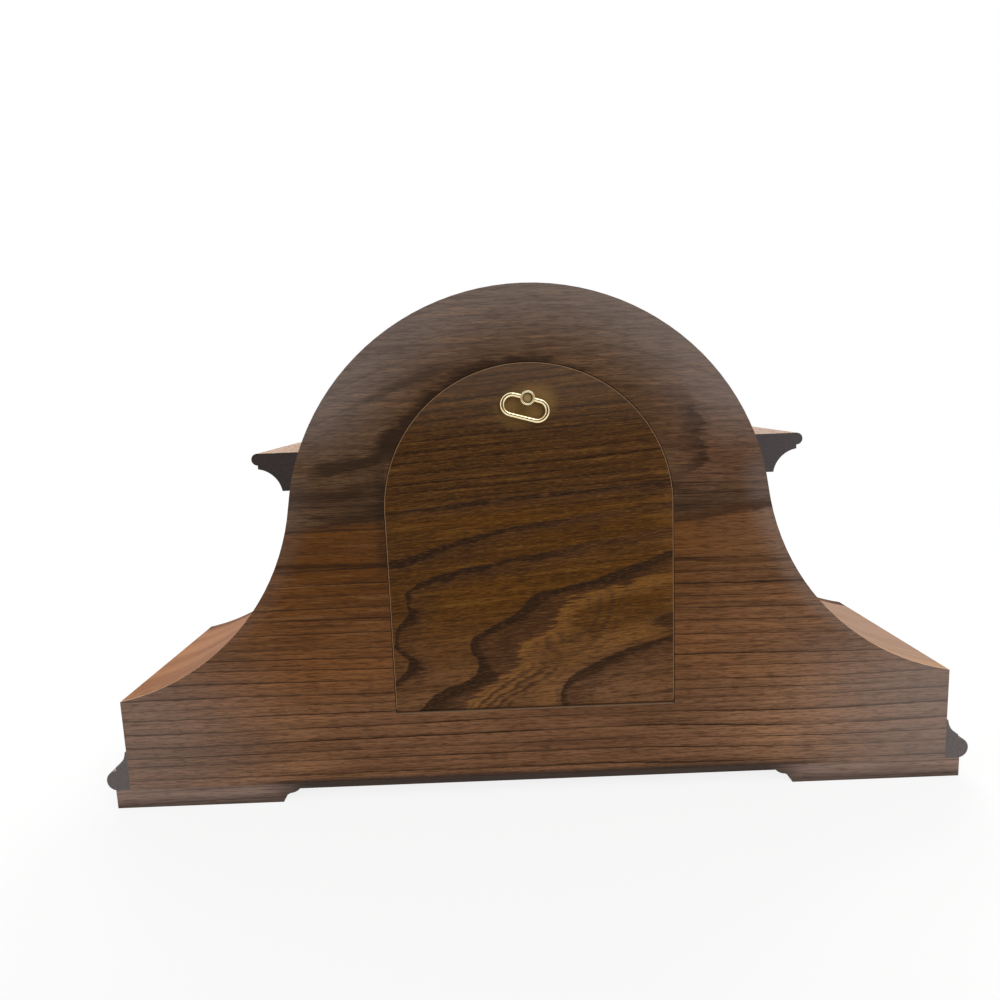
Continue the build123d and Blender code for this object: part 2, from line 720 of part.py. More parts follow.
def upright(radius, z_start, z_end):
    """A round bar on the bezel hinge's axis."""
    middle = Pos(hinge_x, hinge_y, (z_start + z_end) / 2)
    return middle * Cylinder(radius, z_end - z_start)


knuckle_third = HINGE_HEIGHT / 3
hinge_bottom = dial_z - HINGE_HEIGHT / 2
hinge_top = dial_z + HINGE_HEIGHT / 2
middle_bottom = hinge_bottom + knuckle_third + RUNNING_CLEARANCE
middle_top = hinge_top - knuckle_third - RUNNING_CLEARANCE


def make_fixed_leaf():
    y_span = (front_y - HINGE_LEAF_THICKNESS, front_y)
    leaf = block((hinge_x, hinge_x + HINGE_LEAF_WIDTH), y_span, (hinge_bottom, hinge_top))
    leaf += upright(HINGE_KNUCKLE_RADIUS, hinge_bottom, hinge_top)
    reach = HINGE_KNUCKLE_RADIUS + BEZEL_GAP
    leaf -= block(
        (hinge_x - reach, hinge_x + reach),
        (hinge_y - reach, front_y),
        (middle_bottom - RUNNING_CLEARANCE, middle_top + RUNNING_CLEARANCE),
    )
    return leaf - upright(HINGE_PIN_RADIUS + PRESS_CLEARANCE, hinge_bottom, hinge_top)


def make_moving_knuckle():
    knuckle = upright(HINGE_KNUCKLE_RADIUS, middle_bottom, middle_top)
    y_span = (hinge_y - HINGE_LEAF_THICKNESS, hinge_y)
    knuckle += block((BEZEL_OUTER_RADIUS - BEZEL_EDGE, hinge_x), y_span, (middle_bottom, middle_top))
    knuckle -= disc(BEZEL_OUTER_RADIUS + PRESS_CLEARANCE, bezel_front_y, front_y, z=dial_z)
    return knuckle - upright(HINGE_PIN_RADIUS + RUNNING_CLEARANCE, hinge_bottom, hinge_top)


def make_finger_tab():
    y_span = (bezel_back_y - TAB_THICKNESS, bezel_back_y)
    root = BEZEL_OUTER_RADIUS - BEZEL_EDGE
    z_span = (dial_z - TAB_HEIGHT / 2, dial_z + TAB_HEIGHT / 2)
    tab = block((-BEZEL_OUTER_RADIUS - TAB_REACH, -root), y_span, z_span)
    ends = tab.edges().filter_by(Axis.Y).group_by(Axis.X)[0]
    tab = fillet(ends, TAB_REACH / 2)
    return tab - disc(BEZEL_OUTER_RADIUS + PRESS_CLEARANCE, bezel_front_y, front_y, z=dial_z)


# Movement frame
pillar_x = PLATE_WIDTH / 2 - PILLAR_INSET
pillar_places = [
    (side * pillar_x, height)
    for side in (-1, 1)
    for height in (dial_z - PLATE_BELOW_CENTRE + PILLAR_INSET, dial_z + PLATE_ABOVE_CENTRE - PILLAR_INSET)
]
click_x = CLICK_PIVOT_SIDE
click_z = barrel_z + CLICK_PIVOT_RISE


def plate_face():
    height = PLATE_ABOVE_CENTRE + PLATE_BELOW_CENTRE
    middle = dial_z + (PLATE_ABOVE_CENTRE - PLATE_BELOW_CENTRE) / 2
    plate = Pos(0, middle) * RectangleRounded(PLATE_WIDTH, height, PLATE_CORNER_RADIUS)
    plate -= Pos(0, dial_z) * Circle(ARBOR_RADIUS + RUNNING_CLEARANCE)
    plate -= Pos(0, barrel_z) * Circle(WINDING_ARBOR_RADIUS + RUNNING_CLEARANCE)
    plate -= Pos(0, third_z) * Circle(THIRD_ARBOR_RADIUS + RUNNING_CLEARANCE)
    return plate - Pos(hammer_arbor_x, hammer_arbor_z) * Circle(ARBOR_RADIUS + RUNNING_CLEARANCE)


def make_front_plate():
    plate = along_y(plate_face(), plate_front_y, plate_inner_y)
    plate += disc(MINUTE_STUD_RADIUS, minute_pinion_y, plate_front_y, -minute_distance, dial_z)
    plate += disc(CLICK_STUD_RADIUS, ratchet_y, plate_front_y, click_x, click_z)
    return plate


def make_back_plate():
    plate = along_y(plate_face(), back_plate_y, movement_rear_y)
    for x, z in pillar_places:
        plate -= disc(PILLAR_STUD_RADIUS + PRESS_CLEARANCE, back_plate_y, movement_rear_y, x, z)
    return plate


def make_pillars():
    end_y = movement_rear_y + NUT_THICKNESS
    pillars = []
    for x, z in pillar_places:
        body = disc(PILLAR_RADIUS, plate_inner_y, back_plate_y, x, z)
        pillars.append(body + disc(PILLAR_STUD_RADIUS, back_plate_y, end_y, x, z))
    return Compound(pillars)


def make_pillar_nuts():
    nuts = []
    for x, z in pillar_places:
        hexagon = RegularPolygon(NUT_RADIUS, 6) - Circle(PILLAR_STUD_RADIUS + PRESS_CLEARANCE)
        nuts.append(along_y(Pos(x, z) * hexagon, movement_rear_y, movement_rear_y + NUT_THICKNESS))
    return Compound(nuts)


def make_mounting_posts():
    return Compound([disc(POST_RADIUS, board_back_y, plate_front_y, x, z) for x, z in pillar_places])


# Going train
def make_barrel():
    """A toothed drum, open at the back, that turns on the winding arbor."""
    wheel = gear(GREAT_WHEEL_TEETH, GREAT_MODULE, WHEEL_FORM, 90)
    barrel = along_y(Pos(0, barrel_z) * wheel, great_y, drum_y)
    barrel += disc(barrel_radius, great_y, cap_y, z=barrel_z)
    barrel -= disc(drum_radius, drum_y, cap_y, z=barrel_z)
    return barrel - disc(WINDING_ARBOR_RADIUS + RUNNING_CLEARANCE, great_y, cap_y, z=barrel_z)


def make_barrel_cap():
    end_y = cap_y + BARREL_CAP_THICKNESS
    return tube(barrel_radius, WINDING_ARBOR_RADIUS + RUNNING_CLEARANCE, cap_y, end_y, z=barrel_z)


def make_mainspring():
    """The coiled ribbon, as the ring that it fills against the drum's wall."""
    outer = drum_radius - MAINSPRING_GAP
    return tube(outer, outer - MAINSPRING_PACK, drum_y, cap_y - MAINSPRING_GAP, z=barrel_z)


square_end_y = dial_back_y + WINDING_RECESS
square_root_y = square_end_y + WINDING_SQUARE_LENGTH


def make_winding_arbor():
    arbor = disc(WINDING_ARBOR_RADIUS, square_root_y, movement_rear_y, z=barrel_z)
    half = WINDING_SQUARE / 2
    return arbor + block((-half, half), (square_end_y, square_root_y), (barrel_z - half, barrel_z + half))


def make_ratchet():
    points = []
    step = 360 / RATCHET_TEETH
    for tooth in range(RATCHET_TEETH):
        points.append(polar(RATCHET_RADIUS, tooth * step))
        points.append(polar(RATCHET_RADIUS - RATCHET_TOOTH_DEPTH, tooth * step))
    face = make_face(Polyline(*points, close=True)) - Circle(WINDING_ARBOR_RADIUS + PRESS_CLEARANCE)
    return along_y(Pos(0, barrel_z) * face, ratchet_y, ratchet_y + RATCHET_THICKNESS)


nose_x, nose_rise = polar(RATCHET_RADIUS + CLICK_NOSE_GAP, CLICK_NOSE_ANGLE)
click_run = (Vector(click_x, click_z) - Vector(nose_x, barrel_z + nose_rise)).normalized()
click_side = Vector(-click_run.Y, click_run.X)


def make_click():
    pivot = Vector(click_x, click_z)
    nose = Vector(nose_x, barrel_z + nose_rise)
    lever = make_face(
        Polyline(
            nose,
            pivot - click_side * CLICK_BOSS_RADIUS,
            pivot + click_side * CLICK_BOSS_RADIUS,
            close=True,
        )
    )
    lever += Pos(click_x, click_z) * Circle(CLICK_BOSS_RADIUS)
    lever -= Pos(click_x, click_z) * Circle(CLICK_STUD_RADIUS + RUNNING_CLEARANCE)
    return along_y(lever, ratchet_y, ratchet_y + RATCHET_THICKNESS)


def make_click_spring():
    """A flat blade from a foot on the plate to just above the click's boss."""
    seat = Vector(click_x, click_z) + click_side * (CLICK_BOSS_RADIUS + CLICK_SPRING_GAP)
    root = seat + click_run * CLICK_SPRING_LENGTH
    blade = bar((seat.X, seat.Y), (root.X, root.Y), CLICK_SPRING_THICKNESS)
    blade += Pos(root.X, root.Y) * Circle(CLICK_SPRING_FOOT / 2)
    spring = along_y(blade, ratchet_y, ratchet_y + RATCHET_THICKNESS)
    return spring + disc(CLICK_SPRING_FOOT / 2, ratchet_y, plate_front_y, root.X, root.Y)


def make_centre_arbor():
    arbor = disc(ARBOR_RADIUS, nut_y - HAND_NUT_THICKNESS, movement_rear_y, z=dial_z)
    pinion = gear(CENTRE_PINION_LEAVES, GREAT_MODULE, PINION_FORM, 270 + 180 / CENTRE_PINION_LEAVES)
    return arbor + along_y(Pos(0, dial_z) * pinion, great_y - PINION_OVERLAP, drum_y + PINION_OVERLAP)


def crossed_wheel(teeth, module, tooth_at, arbor):
    """A wheel with its disc crossed out into spokes between the rim and the hub."""
    wheel = gear(teeth, module, WHEEL_FORM, tooth_at)
    rim = (teeth / 2 - WHEEL_FORM[1]) * module - WHEEL_RIM
    window = Circle(rim) - Circle(arbor + HUB_WALL)
    strip = Pos(rim / 2, 0) * Rectangle(2 * rim, SPOKE_WIDTH)
    for spoke in range(WHEEL_SPOKES):
        window -= Rot(0, 0, 360 / WHEEL_SPOKES * (spoke + 0.5)) * strip
    return wheel - window - Circle(arbor + PRESS_CLEARANCE)


def make_centre_wheel():
    face = crossed_wheel(CENTRE_WHEEL_TEETH, CENTRE_MODULE, 90, ARBOR_RADIUS)
    return along_y(Pos(0, dial_z) * face, centre_wheel_y, centre_wheel_y + WHEEL_THICKNESS)


def make_third_arbor():
    arbor = disc(THIRD_ARBOR_RADIUS, plate_front_y, movement_rear_y + PLATE_THICKNESS, z=third_z)
    pinion = gear(THIRD_PINION_LEAVES, CENTRE_MODULE, PINION_FORM, 270 + 180 / THIRD_PINION_LEAVES)
    start_y = centre_wheel_y - PINION_OVERLAP
    end_y = centre_wheel_y + WHEEL_THICKNESS + PINION_OVERLAP
    return arbor + along_y(Pos(0, third_z) * pinion, start_y, end_y)


def make_third_wheel():
    face = crossed_wheel(THIRD_WHEEL_TEETH, THIRD_MODULE, 90, THIRD_ARBOR_RADIUS)
    return along_y(Pos(0, third_z) * face, third_wheel_y, third_wheel_y + WHEEL_THICKNESS)


# Motion work and hands
def make_cannon_pinion():
    """The pipe that carries the minute hand, with its pinion and the strike cam."""
    pipe = disc(CANNON_PIPE_RADIUS, nut_y, plate_front_y - CAM_BACK_GAP, z=dial_z)
    leaves = gear(CANNON_LEAVES, CANNON_MODULE, PINION_FORM, 180 + 180 / CANNON_LEAVES)
    pipe += along_y(Pos(0, dial_z) * leaves, minute_wheel_y - CAM_BACK_GAP, cam_y)
    lobe = CANNON_CAM_BASE / 2
    cam = Circle(CANNON_CAM_BASE) + Pos(CANNON_CAM_RADIUS - lobe, 0) * Circle(lobe)
    pipe += along_y(Pos(0, dial_z) * cam, cam_y, cam_y + CAM_THICKNESS)
    return pipe - disc(ARBOR_RADIUS + PRESS_CLEARANCE, nut_y, plate_front_y, z=dial_z)


def make_minute_wheel():
    wheel = gear(MINUTE_WHEEL_TEETH, CANNON_MODULE, WHEEL_FORM, 0)
    pinion = gear(MINUTE_PINION_LEAVES, hour_module, PINION_FORM, 180 / MINUTE_PINION_LEAVES)
    place = Pos(-minute_distance, dial_z)
    solid = along_y(place * wheel, minute_wheel_y, minute_wheel_y + MINUTE_WHEEL_THICKNESS)
    solid += along_y(place * pinion, minute_pinion_y, minute_wheel_y)
    end_y = minute_wheel_y + MINUTE_WHEEL_THICKNESS
    bore = MINUTE_STUD_RADIUS + RUNNING_CLEARANCE
    return solid - disc(bore, minute_pinion_y, end_y, -minute_distance, dial_z)


def make_hour_wheel():
    wheel = gear(HOUR_WHEEL_TEETH, hour_module, WHEEL_FORM, 180)
    end_y = hour_wheel_y + WHEEL_THICKNESS
    solid = along_y(Pos(0, dial_z) * wheel, hour_wheel_y, end_y)
    pipe_y = hour_hand_y - HAND_THICKNESS
    solid += disc(HOUR_PIPE_RADIUS, pipe_y, end_y, z=dial_z)
    return solid - disc(CANNON_PIPE_RADIUS + RUNNING_CLEARANCE, pipe_y, end_y, z=dial_z)


def hand_face(length, clockwise, bore):
    """A spade hand that points clockwise degrees from twelve."""
    half = HAND_WIDTH / 2
    spade = HAND_SPADE_WIDTH / 2
    neck = length - HAND_NECK_FROM_TIP
    shoulder = length - HAND_SPADE_LENGTH
    blade = make_face(
        Polyline(
            (-half, -HAND_TAIL),
            (half, -HAND_TAIL),
            (half / 2, neck),
            (spade, shoulder),
            (0, length),
            (-spade, shoulder),
            (-half / 2, neck),
            close=True,
        )
    )
    hand = blade + Circle(HAND_BOSS_RADIUS) - Circle(bore + PRESS_CLEARANCE)
    return Pos(0, dial_z) * Rot(0, 0, -clockwise) * hand


minute_angle = 6 * MINUTE_SHOWN
hour_angle = 30 * HOUR_SHOWN + MINUTE_SHOWN / 2


def make_minute_hand():
    face = hand_face(MINUTE_HAND_LENGTH, minute_angle, CANNON_PIPE_RADIUS)
    return along_y(face, minute_hand_y - HAND_THICKNESS, minute_hand_y)


def make_hour_hand():
    face = hand_face(HOUR_HAND_LENGTH, hour_angle, HOUR_PIPE_RADIUS)
    return along_y(face, hour_hand_y - HAND_THICKNESS, hour_hand_y)


def make_hand_nut():
    return tube(HAND_NUT_RADIUS, ARBOR_RADIUS + PRESS_CLEARANCE, nut_y - HAND_NUT_THICKNESS, nut_y, z=dial_z)


# Escapement
def make_platform():
    half = PLATFORM_WIDTH / 2
    z_span = (third_z - PLATFORM_BELOW, third_z + PLATFORM_ABOVE)
    platform = block((-half, half), (movement_rear_y, platform_y), z_span)
    platform = fillet(platform.edges().filter_by(Axis.Y), PLATE_CORNER_RADIUS / 2)
    arbor_end_y = movement_rear_y + PLATE_THICKNESS
    platform -= disc(THIRD_ARBOR_RADIUS + RUNNING_CLEARANCE, movement_rear_y, arbor_end_y, z=third_z)
    seat_y = platform_y - STAFF_SEAT_DEPTH
    return platform - disc(STAFF_RADIUS + RUNNING_CLEARANCE, seat_y, platform_y, z=balance_z)


def make_balance():
    """The balance rim with its crossing arm, hub and staff."""
    end_y = balance_y + BALANCE_THICKNESS
    inner = BALANCE_RADIUS - BALANCE_RIM
    face = Circle(BALANCE_RADIUS) - Circle(inner) + Rectangle(2 * inner, BALANCE_RIM)
    face += Circle(BALANCE_HUB_RADIUS)
    balance = along_y(Pos(0, balance_z) * face, balance_y, end_y)
    return balance + disc(STAFF_RADIUS, platform_y - STAFF_SEAT_DEPTH, cock_y + COCK_THICKNESS, z=balance_z)


def make_hairspring():
    """A flat spiral of half turns, each wider than the last by half the pitch."""
    arcs = []
    radius = STAFF_RADIUS + HAIRSPRING_WIRE_RADIUS + PRESS_CLEARANCE
    x_start = radius
    for half_turn in range(2 * HAIRSPRING_TURNS):
        way = 1 if half_turn % 2 == 0 else -1
        radius += HAIRSPRING_PITCH / 4
        x_end = x_start - way * 2 * radius
        middle = (x_start + x_end) / 2
        arcs.append(ThreePointArc((x_start, 0), (middle, way * radius), (x_end, 0)))
        x_start = x_end
    wire = Wire([edge for arc in arcs for edge in arc.edges()])
    first = STAFF_RADIUS + HAIRSPRING_WIRE_RADIUS + PRESS_CLEARANCE
    section = Plane((first, 0, 0), z_dir=(0, 1, 0)) * Circle(HAIRSPRING_WIRE_RADIUS)
    plane = Plane((0, hairspring_y, balance_z), x_dir=(1, 0, 0), z_dir=(0, -1, 0))
    print("hairspring turn gap, mm:", HAIRSPRING_PITCH - 2 * HAIRSPRING_WIRE_RADIUS)
    return plane.location * sweep(section, path=wire)


def make_cock():
    """A bridge over the balance, on one foot that stands on the platform."""
    foot_z = balance_z + COCK_FOOT_RISE
    end_y = cock_y + COCK_THICKNESS
    arm = bar((0, balance_z), (COCK_FOOT_SIDE, foot_z), COCK_ARM_WIDTH)
    arm += Pos(0, balance_z) * Circle(COCK_FOOT_RADIUS)
    cock = along_y(arm, cock_y, end_y) + disc(COCK_FOOT_RADIUS, platform_y, end_y, COCK_FOOT_SIDE, foot_z)
    return cock - disc(STAFF_RADIUS + RUNNING_CLEARANCE, cock_y, end_y, z=balance_z)


# Hour strike
hammer_head_z = gong_z + GONG_ROD_RADIUS + HAMMER_REST_GAP


def hammer_arm(y):
    centre = (hammer_head_x, hammer_head_z + HAMMER_HEAD_LENGTH / 2)
    strip = bar((hammer_arbor_x, hammer_arbor_z), centre, HAMMER_ARM_WIDTH)
    return along_y(strip, y - HAMMER_ARM_THICKNESS / 2, y + HAMMER_ARM_THICKNESS / 2)


def make_hammer_arbor():
    """The arbor with its lifting tail in front and its two arms behind."""
    end_y = gong_rod_ys[-1] + HAMMER_ARM_THICKNESS
    arbor = disc(ARBOR_RADIUS, cam_y, end_y, hammer_arbor_x, hammer_arbor_z)
    to_arbor = Vector(hammer_arbor_x, hammer_arbor_z - dial_z).normalized()
    tip = to_arbor * (CANNON_CAM_RADIUS + TAIL_GAP)
    tail = bar((hammer_arbor_x, hammer_arbor_z), (tip.X, dial_z + tip.Y), HAMMER_ARM_WIDTH)
    arbor += along_y(tail, cam_y, cam_y + CAM_THICKNESS)
    half_collar = HAMMER_COLLAR_LENGTH / 2
    for y in gong_rod_ys:
        arbor += hammer_arm(y)
        arbor += disc(HAMMER_COLLAR_RADIUS, y - half_collar, y + half_collar, hammer_arbor_x, hammer_arbor_z)
    return arbor


def make_hammer_heads():
    heads = []
    for y in gong_rod_ys:
        middle = hammer_head_z + HAMMER_HEAD_LENGTH / 2
        head = Pos(hammer_head_x, y, middle) * Cylinder(HAMMER_HEAD_RADIUS, HAMMER_HEAD_LENGTH)
        heads.append(head - hammer_arm(y))
    return Compound(heads)


gong_block_x = -GONG_BLOCK_SIDE


def make_gong_block():
    x_span = (gong_block_x - GONG_BLOCK_LENGTH, gong_block_x)
    y_span = (gong_y - GONG_BLOCK_WIDTH / 2, gong_y + GONG_BLOCK_WIDTH / 2)
    gong_block = block(x_span, y_span, (floor_z, gong_z + GONG_BLOCK_CROWN))
    gong_block = fillet(gong_block.edges().group_by(Axis.Z)[-1], GONG_BLOCK_CROWN / 4)
    for y in gong_rod_ys:
        hole = Pos(-y, gong_z) * Circle(GONG_ROD_RADIUS + PRESS_CLEARANCE)
        gong_block -= along_x(hole, gong_block_x - GONG_ROD_SEAT, gong_block_x)
    return gong_block


def make_gong_rods():
    start_x = gong_block_x - GONG_ROD_SEAT
    rods = []
    for y, length in zip(gong_rod_ys, GONG_ROD_LENGTHS):
        rods.append(along_x(Pos(-y, gong_z) * Circle(GONG_ROD_RADIUS), start_x, start_x + length))
    return Compound(rods)


right_cornice = make_right_cornice()
right_shoulder = make_right_shoulder()
right_end = make_right_end()
right_moulding = make_right_base_moulding()
right_rail = make_right_plinth_rail()

pieces = {
    "front_board": make_front_board(),
    "back_panel": make_back_panel(),
    "arch_skin": make_arch_skin(),
    "right_shoulder_skin": right_shoulder,
    "left_shoulder_skin": mirrored(right_shoulder),
    "right_end_panel": right_end,
    "left_end_panel": mirrored(right_end),
    "bottom_board": make_bottom_board(),
    "right_cornice": right_cornice,
    "left_cornice": mirrored(right_cornice),
    "base_moulding_front": make_front_base_moulding(),
    "base_moulding_right": right_moulding,
    "base_moulding_left": mirrored(right_moulding),
    "plinth_rail_front": make_plinth_rail(plinth_front_y, front_rail_y),
    "plinth_rail_rear": make_plinth_rail(rear_rail_y, back_y),
    "plinth_rail_right": right_rail,
    "plinth_rail_left": mirrored(right_rail),
    "access_door": make_door(),
    "door_pivot_pins": door_pins(0),
    "door_magnet": make_magnet(),
    "door_strike_plate": strike_plate(),
    "pull_stud": make_stud(),
    "pull_ring": make_ring(),
    "dial_plate": make_dial(),
    "bezel_ring": make_bezel(),
    "bezel_glass": make_glass(),
    "bezel_hinge_leaf": make_fixed_leaf(),
    "bezel_hinge_knuckle": make_moving_knuckle(),
    "bezel_hinge_pin": upright(HINGE_PIN_RADIUS, hinge_bottom, hinge_top),
    "bezel_finger_tab": make_finger_tab(),
    "movement_front_plate": make_front_plate(),
    "movement_back_plate": make_back_plate(),
    "plate_pillars": make_pillars(),
    "pillar_nuts": make_pillar_nuts(),
    "mounting_posts": make_mounting_posts(),
    "spring_barrel": make_barrel(),
    "barrel_cap": make_barrel_cap(),
    "mainspring": make_mainspring(),
    "winding_arbor": make_winding_arbor(),
    "ratchet_wheel": make_ratchet(),
    "ratchet_click": make_click(),
    "click_spring": make_click_spring(),
    "centre_arbor": make_centre_arbor(),
    "centre_wheel": make_centre_wheel(),
    "third_arbor": make_third_arbor(),
    "third_wheel": make_third_wheel(),
    "cannon_pinion": make_cannon_pinion(),
    "minute_wheel": make_minute_wheel(),
    "hour_wheel": make_hour_wheel(),
    "hour_hand": make_hour_hand(),
    "minute_hand": make_minute_hand(),
    "hand_nut": make_hand_nut(),
    "escapement_platform": make_platform(),
    "balance_wheel": make_balance(),
    "hairspring": make_hairspring(),
    "balance_cock": make_cock(),
    "hammer_arbor": make_hammer_arbor(),
    "hammer_heads": make_hammer_heads(),
    "gong_block": make_gong_block(),
    "gong_rods": make_gong_rods(),
}

os.makedirs("parts", exist_ok=True)
for name, solid in pieces.items():
    export_step(solid, f"parts/{name}.step")
print(len(pieces), "pieces")
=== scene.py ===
import json
import math

import bmesh
import bpy
from mathutils import Matrix, Vector


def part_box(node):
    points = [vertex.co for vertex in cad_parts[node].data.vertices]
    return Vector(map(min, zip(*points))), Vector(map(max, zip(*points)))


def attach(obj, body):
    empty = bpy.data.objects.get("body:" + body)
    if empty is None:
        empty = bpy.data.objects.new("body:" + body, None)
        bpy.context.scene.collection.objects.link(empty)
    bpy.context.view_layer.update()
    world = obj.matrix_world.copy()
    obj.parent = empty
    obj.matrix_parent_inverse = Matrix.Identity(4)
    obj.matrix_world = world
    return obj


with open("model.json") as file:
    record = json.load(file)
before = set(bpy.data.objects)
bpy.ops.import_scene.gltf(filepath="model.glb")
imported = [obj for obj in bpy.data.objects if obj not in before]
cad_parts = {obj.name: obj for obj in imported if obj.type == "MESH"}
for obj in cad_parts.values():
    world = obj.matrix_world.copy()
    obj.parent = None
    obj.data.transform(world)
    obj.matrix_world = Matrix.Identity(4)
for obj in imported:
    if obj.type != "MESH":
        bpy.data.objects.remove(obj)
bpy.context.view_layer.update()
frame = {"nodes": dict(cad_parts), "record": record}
nodes = frame["nodes"]

# Places that the solids have, in metres
DIAL_HEIGHT = 0.139
DOOR_SPRING, DOOR_RADIUS = 0.1504, 0.0715
STUD_SIDE, STUD_HEIGHT = -0.0009, 0.2050
WINDING_HEIGHT = 0.1027
BALANCE_HEIGHT = 0.1755
FRONT, REAR = (0, -1, 0), (0, 1, 0)


# Colours and values over a surface
def shade(red, green, blue):
    """A colour read off a screen, 0 to 255, in the linear values that a shader takes."""

    def linear(level):
        level /= 255
        return level / 12.92 if level <= 0.04045 else ((level + 0.055) / 1.055) ** 2.4

    return linear(red), linear(green), linear(blue), 1.0


def dimmed(colour, share):
    return tuple(level * share for level in colour[:3]) + (1.0,)


def maths(operation, swapped=False):
    def apply(self, other):
        values = [other, self] if swapped else [self, other]
        return self.nodes.node("ShaderNodeMath", {"operation": operation}, values)

    return apply


def maths_alone(operation):
    def apply(self):
        return self.nodes.node("ShaderNodeMath", {"operation": operation}, [self])

    return apply


class Tone:
    """A value that varies over a surface. Operators on it add Math nodes."""

    def __init__(self, nodes, socket):
        self.nodes = nodes
        self.socket = socket

    __add__ = __radd__ = maths("ADD")
    __mul__ = __rmul__ = maths("MULTIPLY")
    __sub__ = maths("SUBTRACT")
    __rsub__ = maths("SUBTRACT", swapped=True)
    __truediv__ = maths("DIVIDE")
    __abs__ = maths_alone("ABSOLUTE")
    most = maths("MAXIMUM")
    root = maths_alone("SQRT")
    fraction = maths_alone("FRACT")

    def rise(self, low, high):
        """0 below low, 1 above high, and a smooth step between them."""
        values = {"Value": self, "From Min": low, "From Max": high}
        return self.nodes.node("ShaderNodeMapRange", {"interpolation_type": "SMOOTHSTEP"}, values)

    def fall(self, low, high):
        return 1 - self.rise(low, high)

    def hill(self, low, top, far, high):
        """0 outside low and high, 1 between top and far."""
        return self.rise(low, top) * self.fall(far, high)

    def also(self, give):
        """Another output of the node that this value comes from."""
        return Tone(self.nodes, self.socket.node.outputs[give])


def length(across, up):
    """The length of a slanting line from its two sides."""
    return (across * across + up * up).root()


class Nodes:
    """A node tree that is filled one node at a time."""

    def __init__(self, tree):
        self.tree = tree
        tree.nodes.clear()

    def node(self, kind, settings=None, inputs=(), give=0):
        """Add a node: its settings first, then the values or links of its sockets."""
        made = self.tree.nodes.new(kind)
        for key, value in (settings or {}).items():
            if key == "points":
                made.mapping.extend = "HORIZONTAL"
                curve = made.mapping.curves[0]
                for index, place in enumerate(value):
                    if index < 2:
                        curve.points[index].location = place
                    else:
                        curve.points.new(*place)
                made.mapping.update()
            else:
                setattr(made, key, value)
        for key, value in inputs.items() if isinstance(inputs, dict) else enumerate(inputs):
            if isinstance(value, Tone):
                self.tree.links.new(value.socket, made.inputs[key])
            else:
                made.inputs[key].default_value = value
        return Tone(self, made.outputs[give]) if made.outputs else None


class Finish(Nodes):
    """A material in the making, with the places of the surface that it covers."""

    def __init__(self, name):
        self.material = bpy.data.materials.new(name)
        self.material.use_nodes = True
        super().__init__(self.material.node_tree)
        self.x = self.node("ShaderNodeSeparateXYZ", inputs=[self.node("ShaderNodeTexCoord", give="Object")])
        self.y = self.x.also("Y")
        self.z = self.x.also("Z")

    def noise(self, x, y, z, detail=2.0, roughness=0.5):
        place = self.node("ShaderNodeCombineXYZ", inputs=[x, y, z])
        values = {"Vector": place, "Scale": 1.0, "Detail": detail, "Roughness": roughness}
        return self.node("ShaderNodeTexNoise", {"noise_dimensions": "3D"}, values)

    def mix(self, share, one, other):
        settings = {"data_type": "RGBA", "clamp_factor": True}
        return self.node("ShaderNodeMix", settings, {0: share, 6: one, 7: other}, give=2)

    def facing_back(self, low, high):
        """1 where the surface faces the back or the front of the clock, 0 on its edges."""
        normal = self.node("ShaderNodeTexCoord", give="Normal")
        return abs(self.node("ShaderNodeSeparateXYZ", inputs=[normal], give="Y")).rise(low, high)

    def bump(self, height, distance, strength):
        values = {"Strength": strength, "Distance": distance, "Height": height}
        return self.node("ShaderNodeBump", inputs=values, give="Normal")

    def drawn(self, along, *places):
        """A drawn line: its value at a place along it, from points in mm."""
        low, span = -0.16, 0.42
        points = sorted(((place / 1000 - low) / span, (value / 1000 - low) / span) for place, value in places)
        share = (along - low) / span
        curve = self.node("ShaderNodeFloatCurve", {"points": points}, {"Factor": 1.0, "Value": share})
        return curve * span + low

    def close(self, **inputs):
        """Close the material with a Principled shader. Underscores in names stand for spaces."""
        named = {key.replace("_", " "): value for key, value in inputs.items()}
        shader = self.node("ShaderNodeBsdfPrincipled", inputs=named)
        self.node("ShaderNodeOutputMaterial", inputs={"Surface": shader})
        return self.material


# Wood
def grain(f, along, across, seed):
    """Streaks, short dark pores and slow clouds along the grain, each from 0 to 1."""
    streaks = f.noise(along * 20, across * 430, seed, 2.5, 0.6)
    pores = f.noise(along * 110, across * 1500, seed + 3, 1.0, 0.5)
    clouds = f.noise(along * 6, across * 50, seed + 6, 2.5, 0.6)
    return streaks, pores, clouds


def growth_lines(f, along, across, spacing, seed, core=0.17):
    """Growth rings cut along the grain: a dark edge on each, as thick as its core, fading above it."""
    jitter = (f.noise(along * 110, across * 420, seed + 1, 2.0) - 0.5) * 0.0011
    sway = (f.noise(along * 5, across * 16, seed + 2, 1.0) - 0.5) * 0.008
    phase = (across + jitter + sway) / spacing + f.noise(seed, across * 55, seed + 5, 1.0) * 1.6
    ring = phase.fraction()
    depth = f.noise(along * 9, phase * 0.8, seed + 4, 2.5).rise(0.34, 0.62)
    line = ring.rise(0.0, 0.04) * (0.76 * ring.fall(core * 0.3, core) + 0.24 * ring.fall(0.10, 0.60))
    return line * (0.45 + 0.55 * depth)


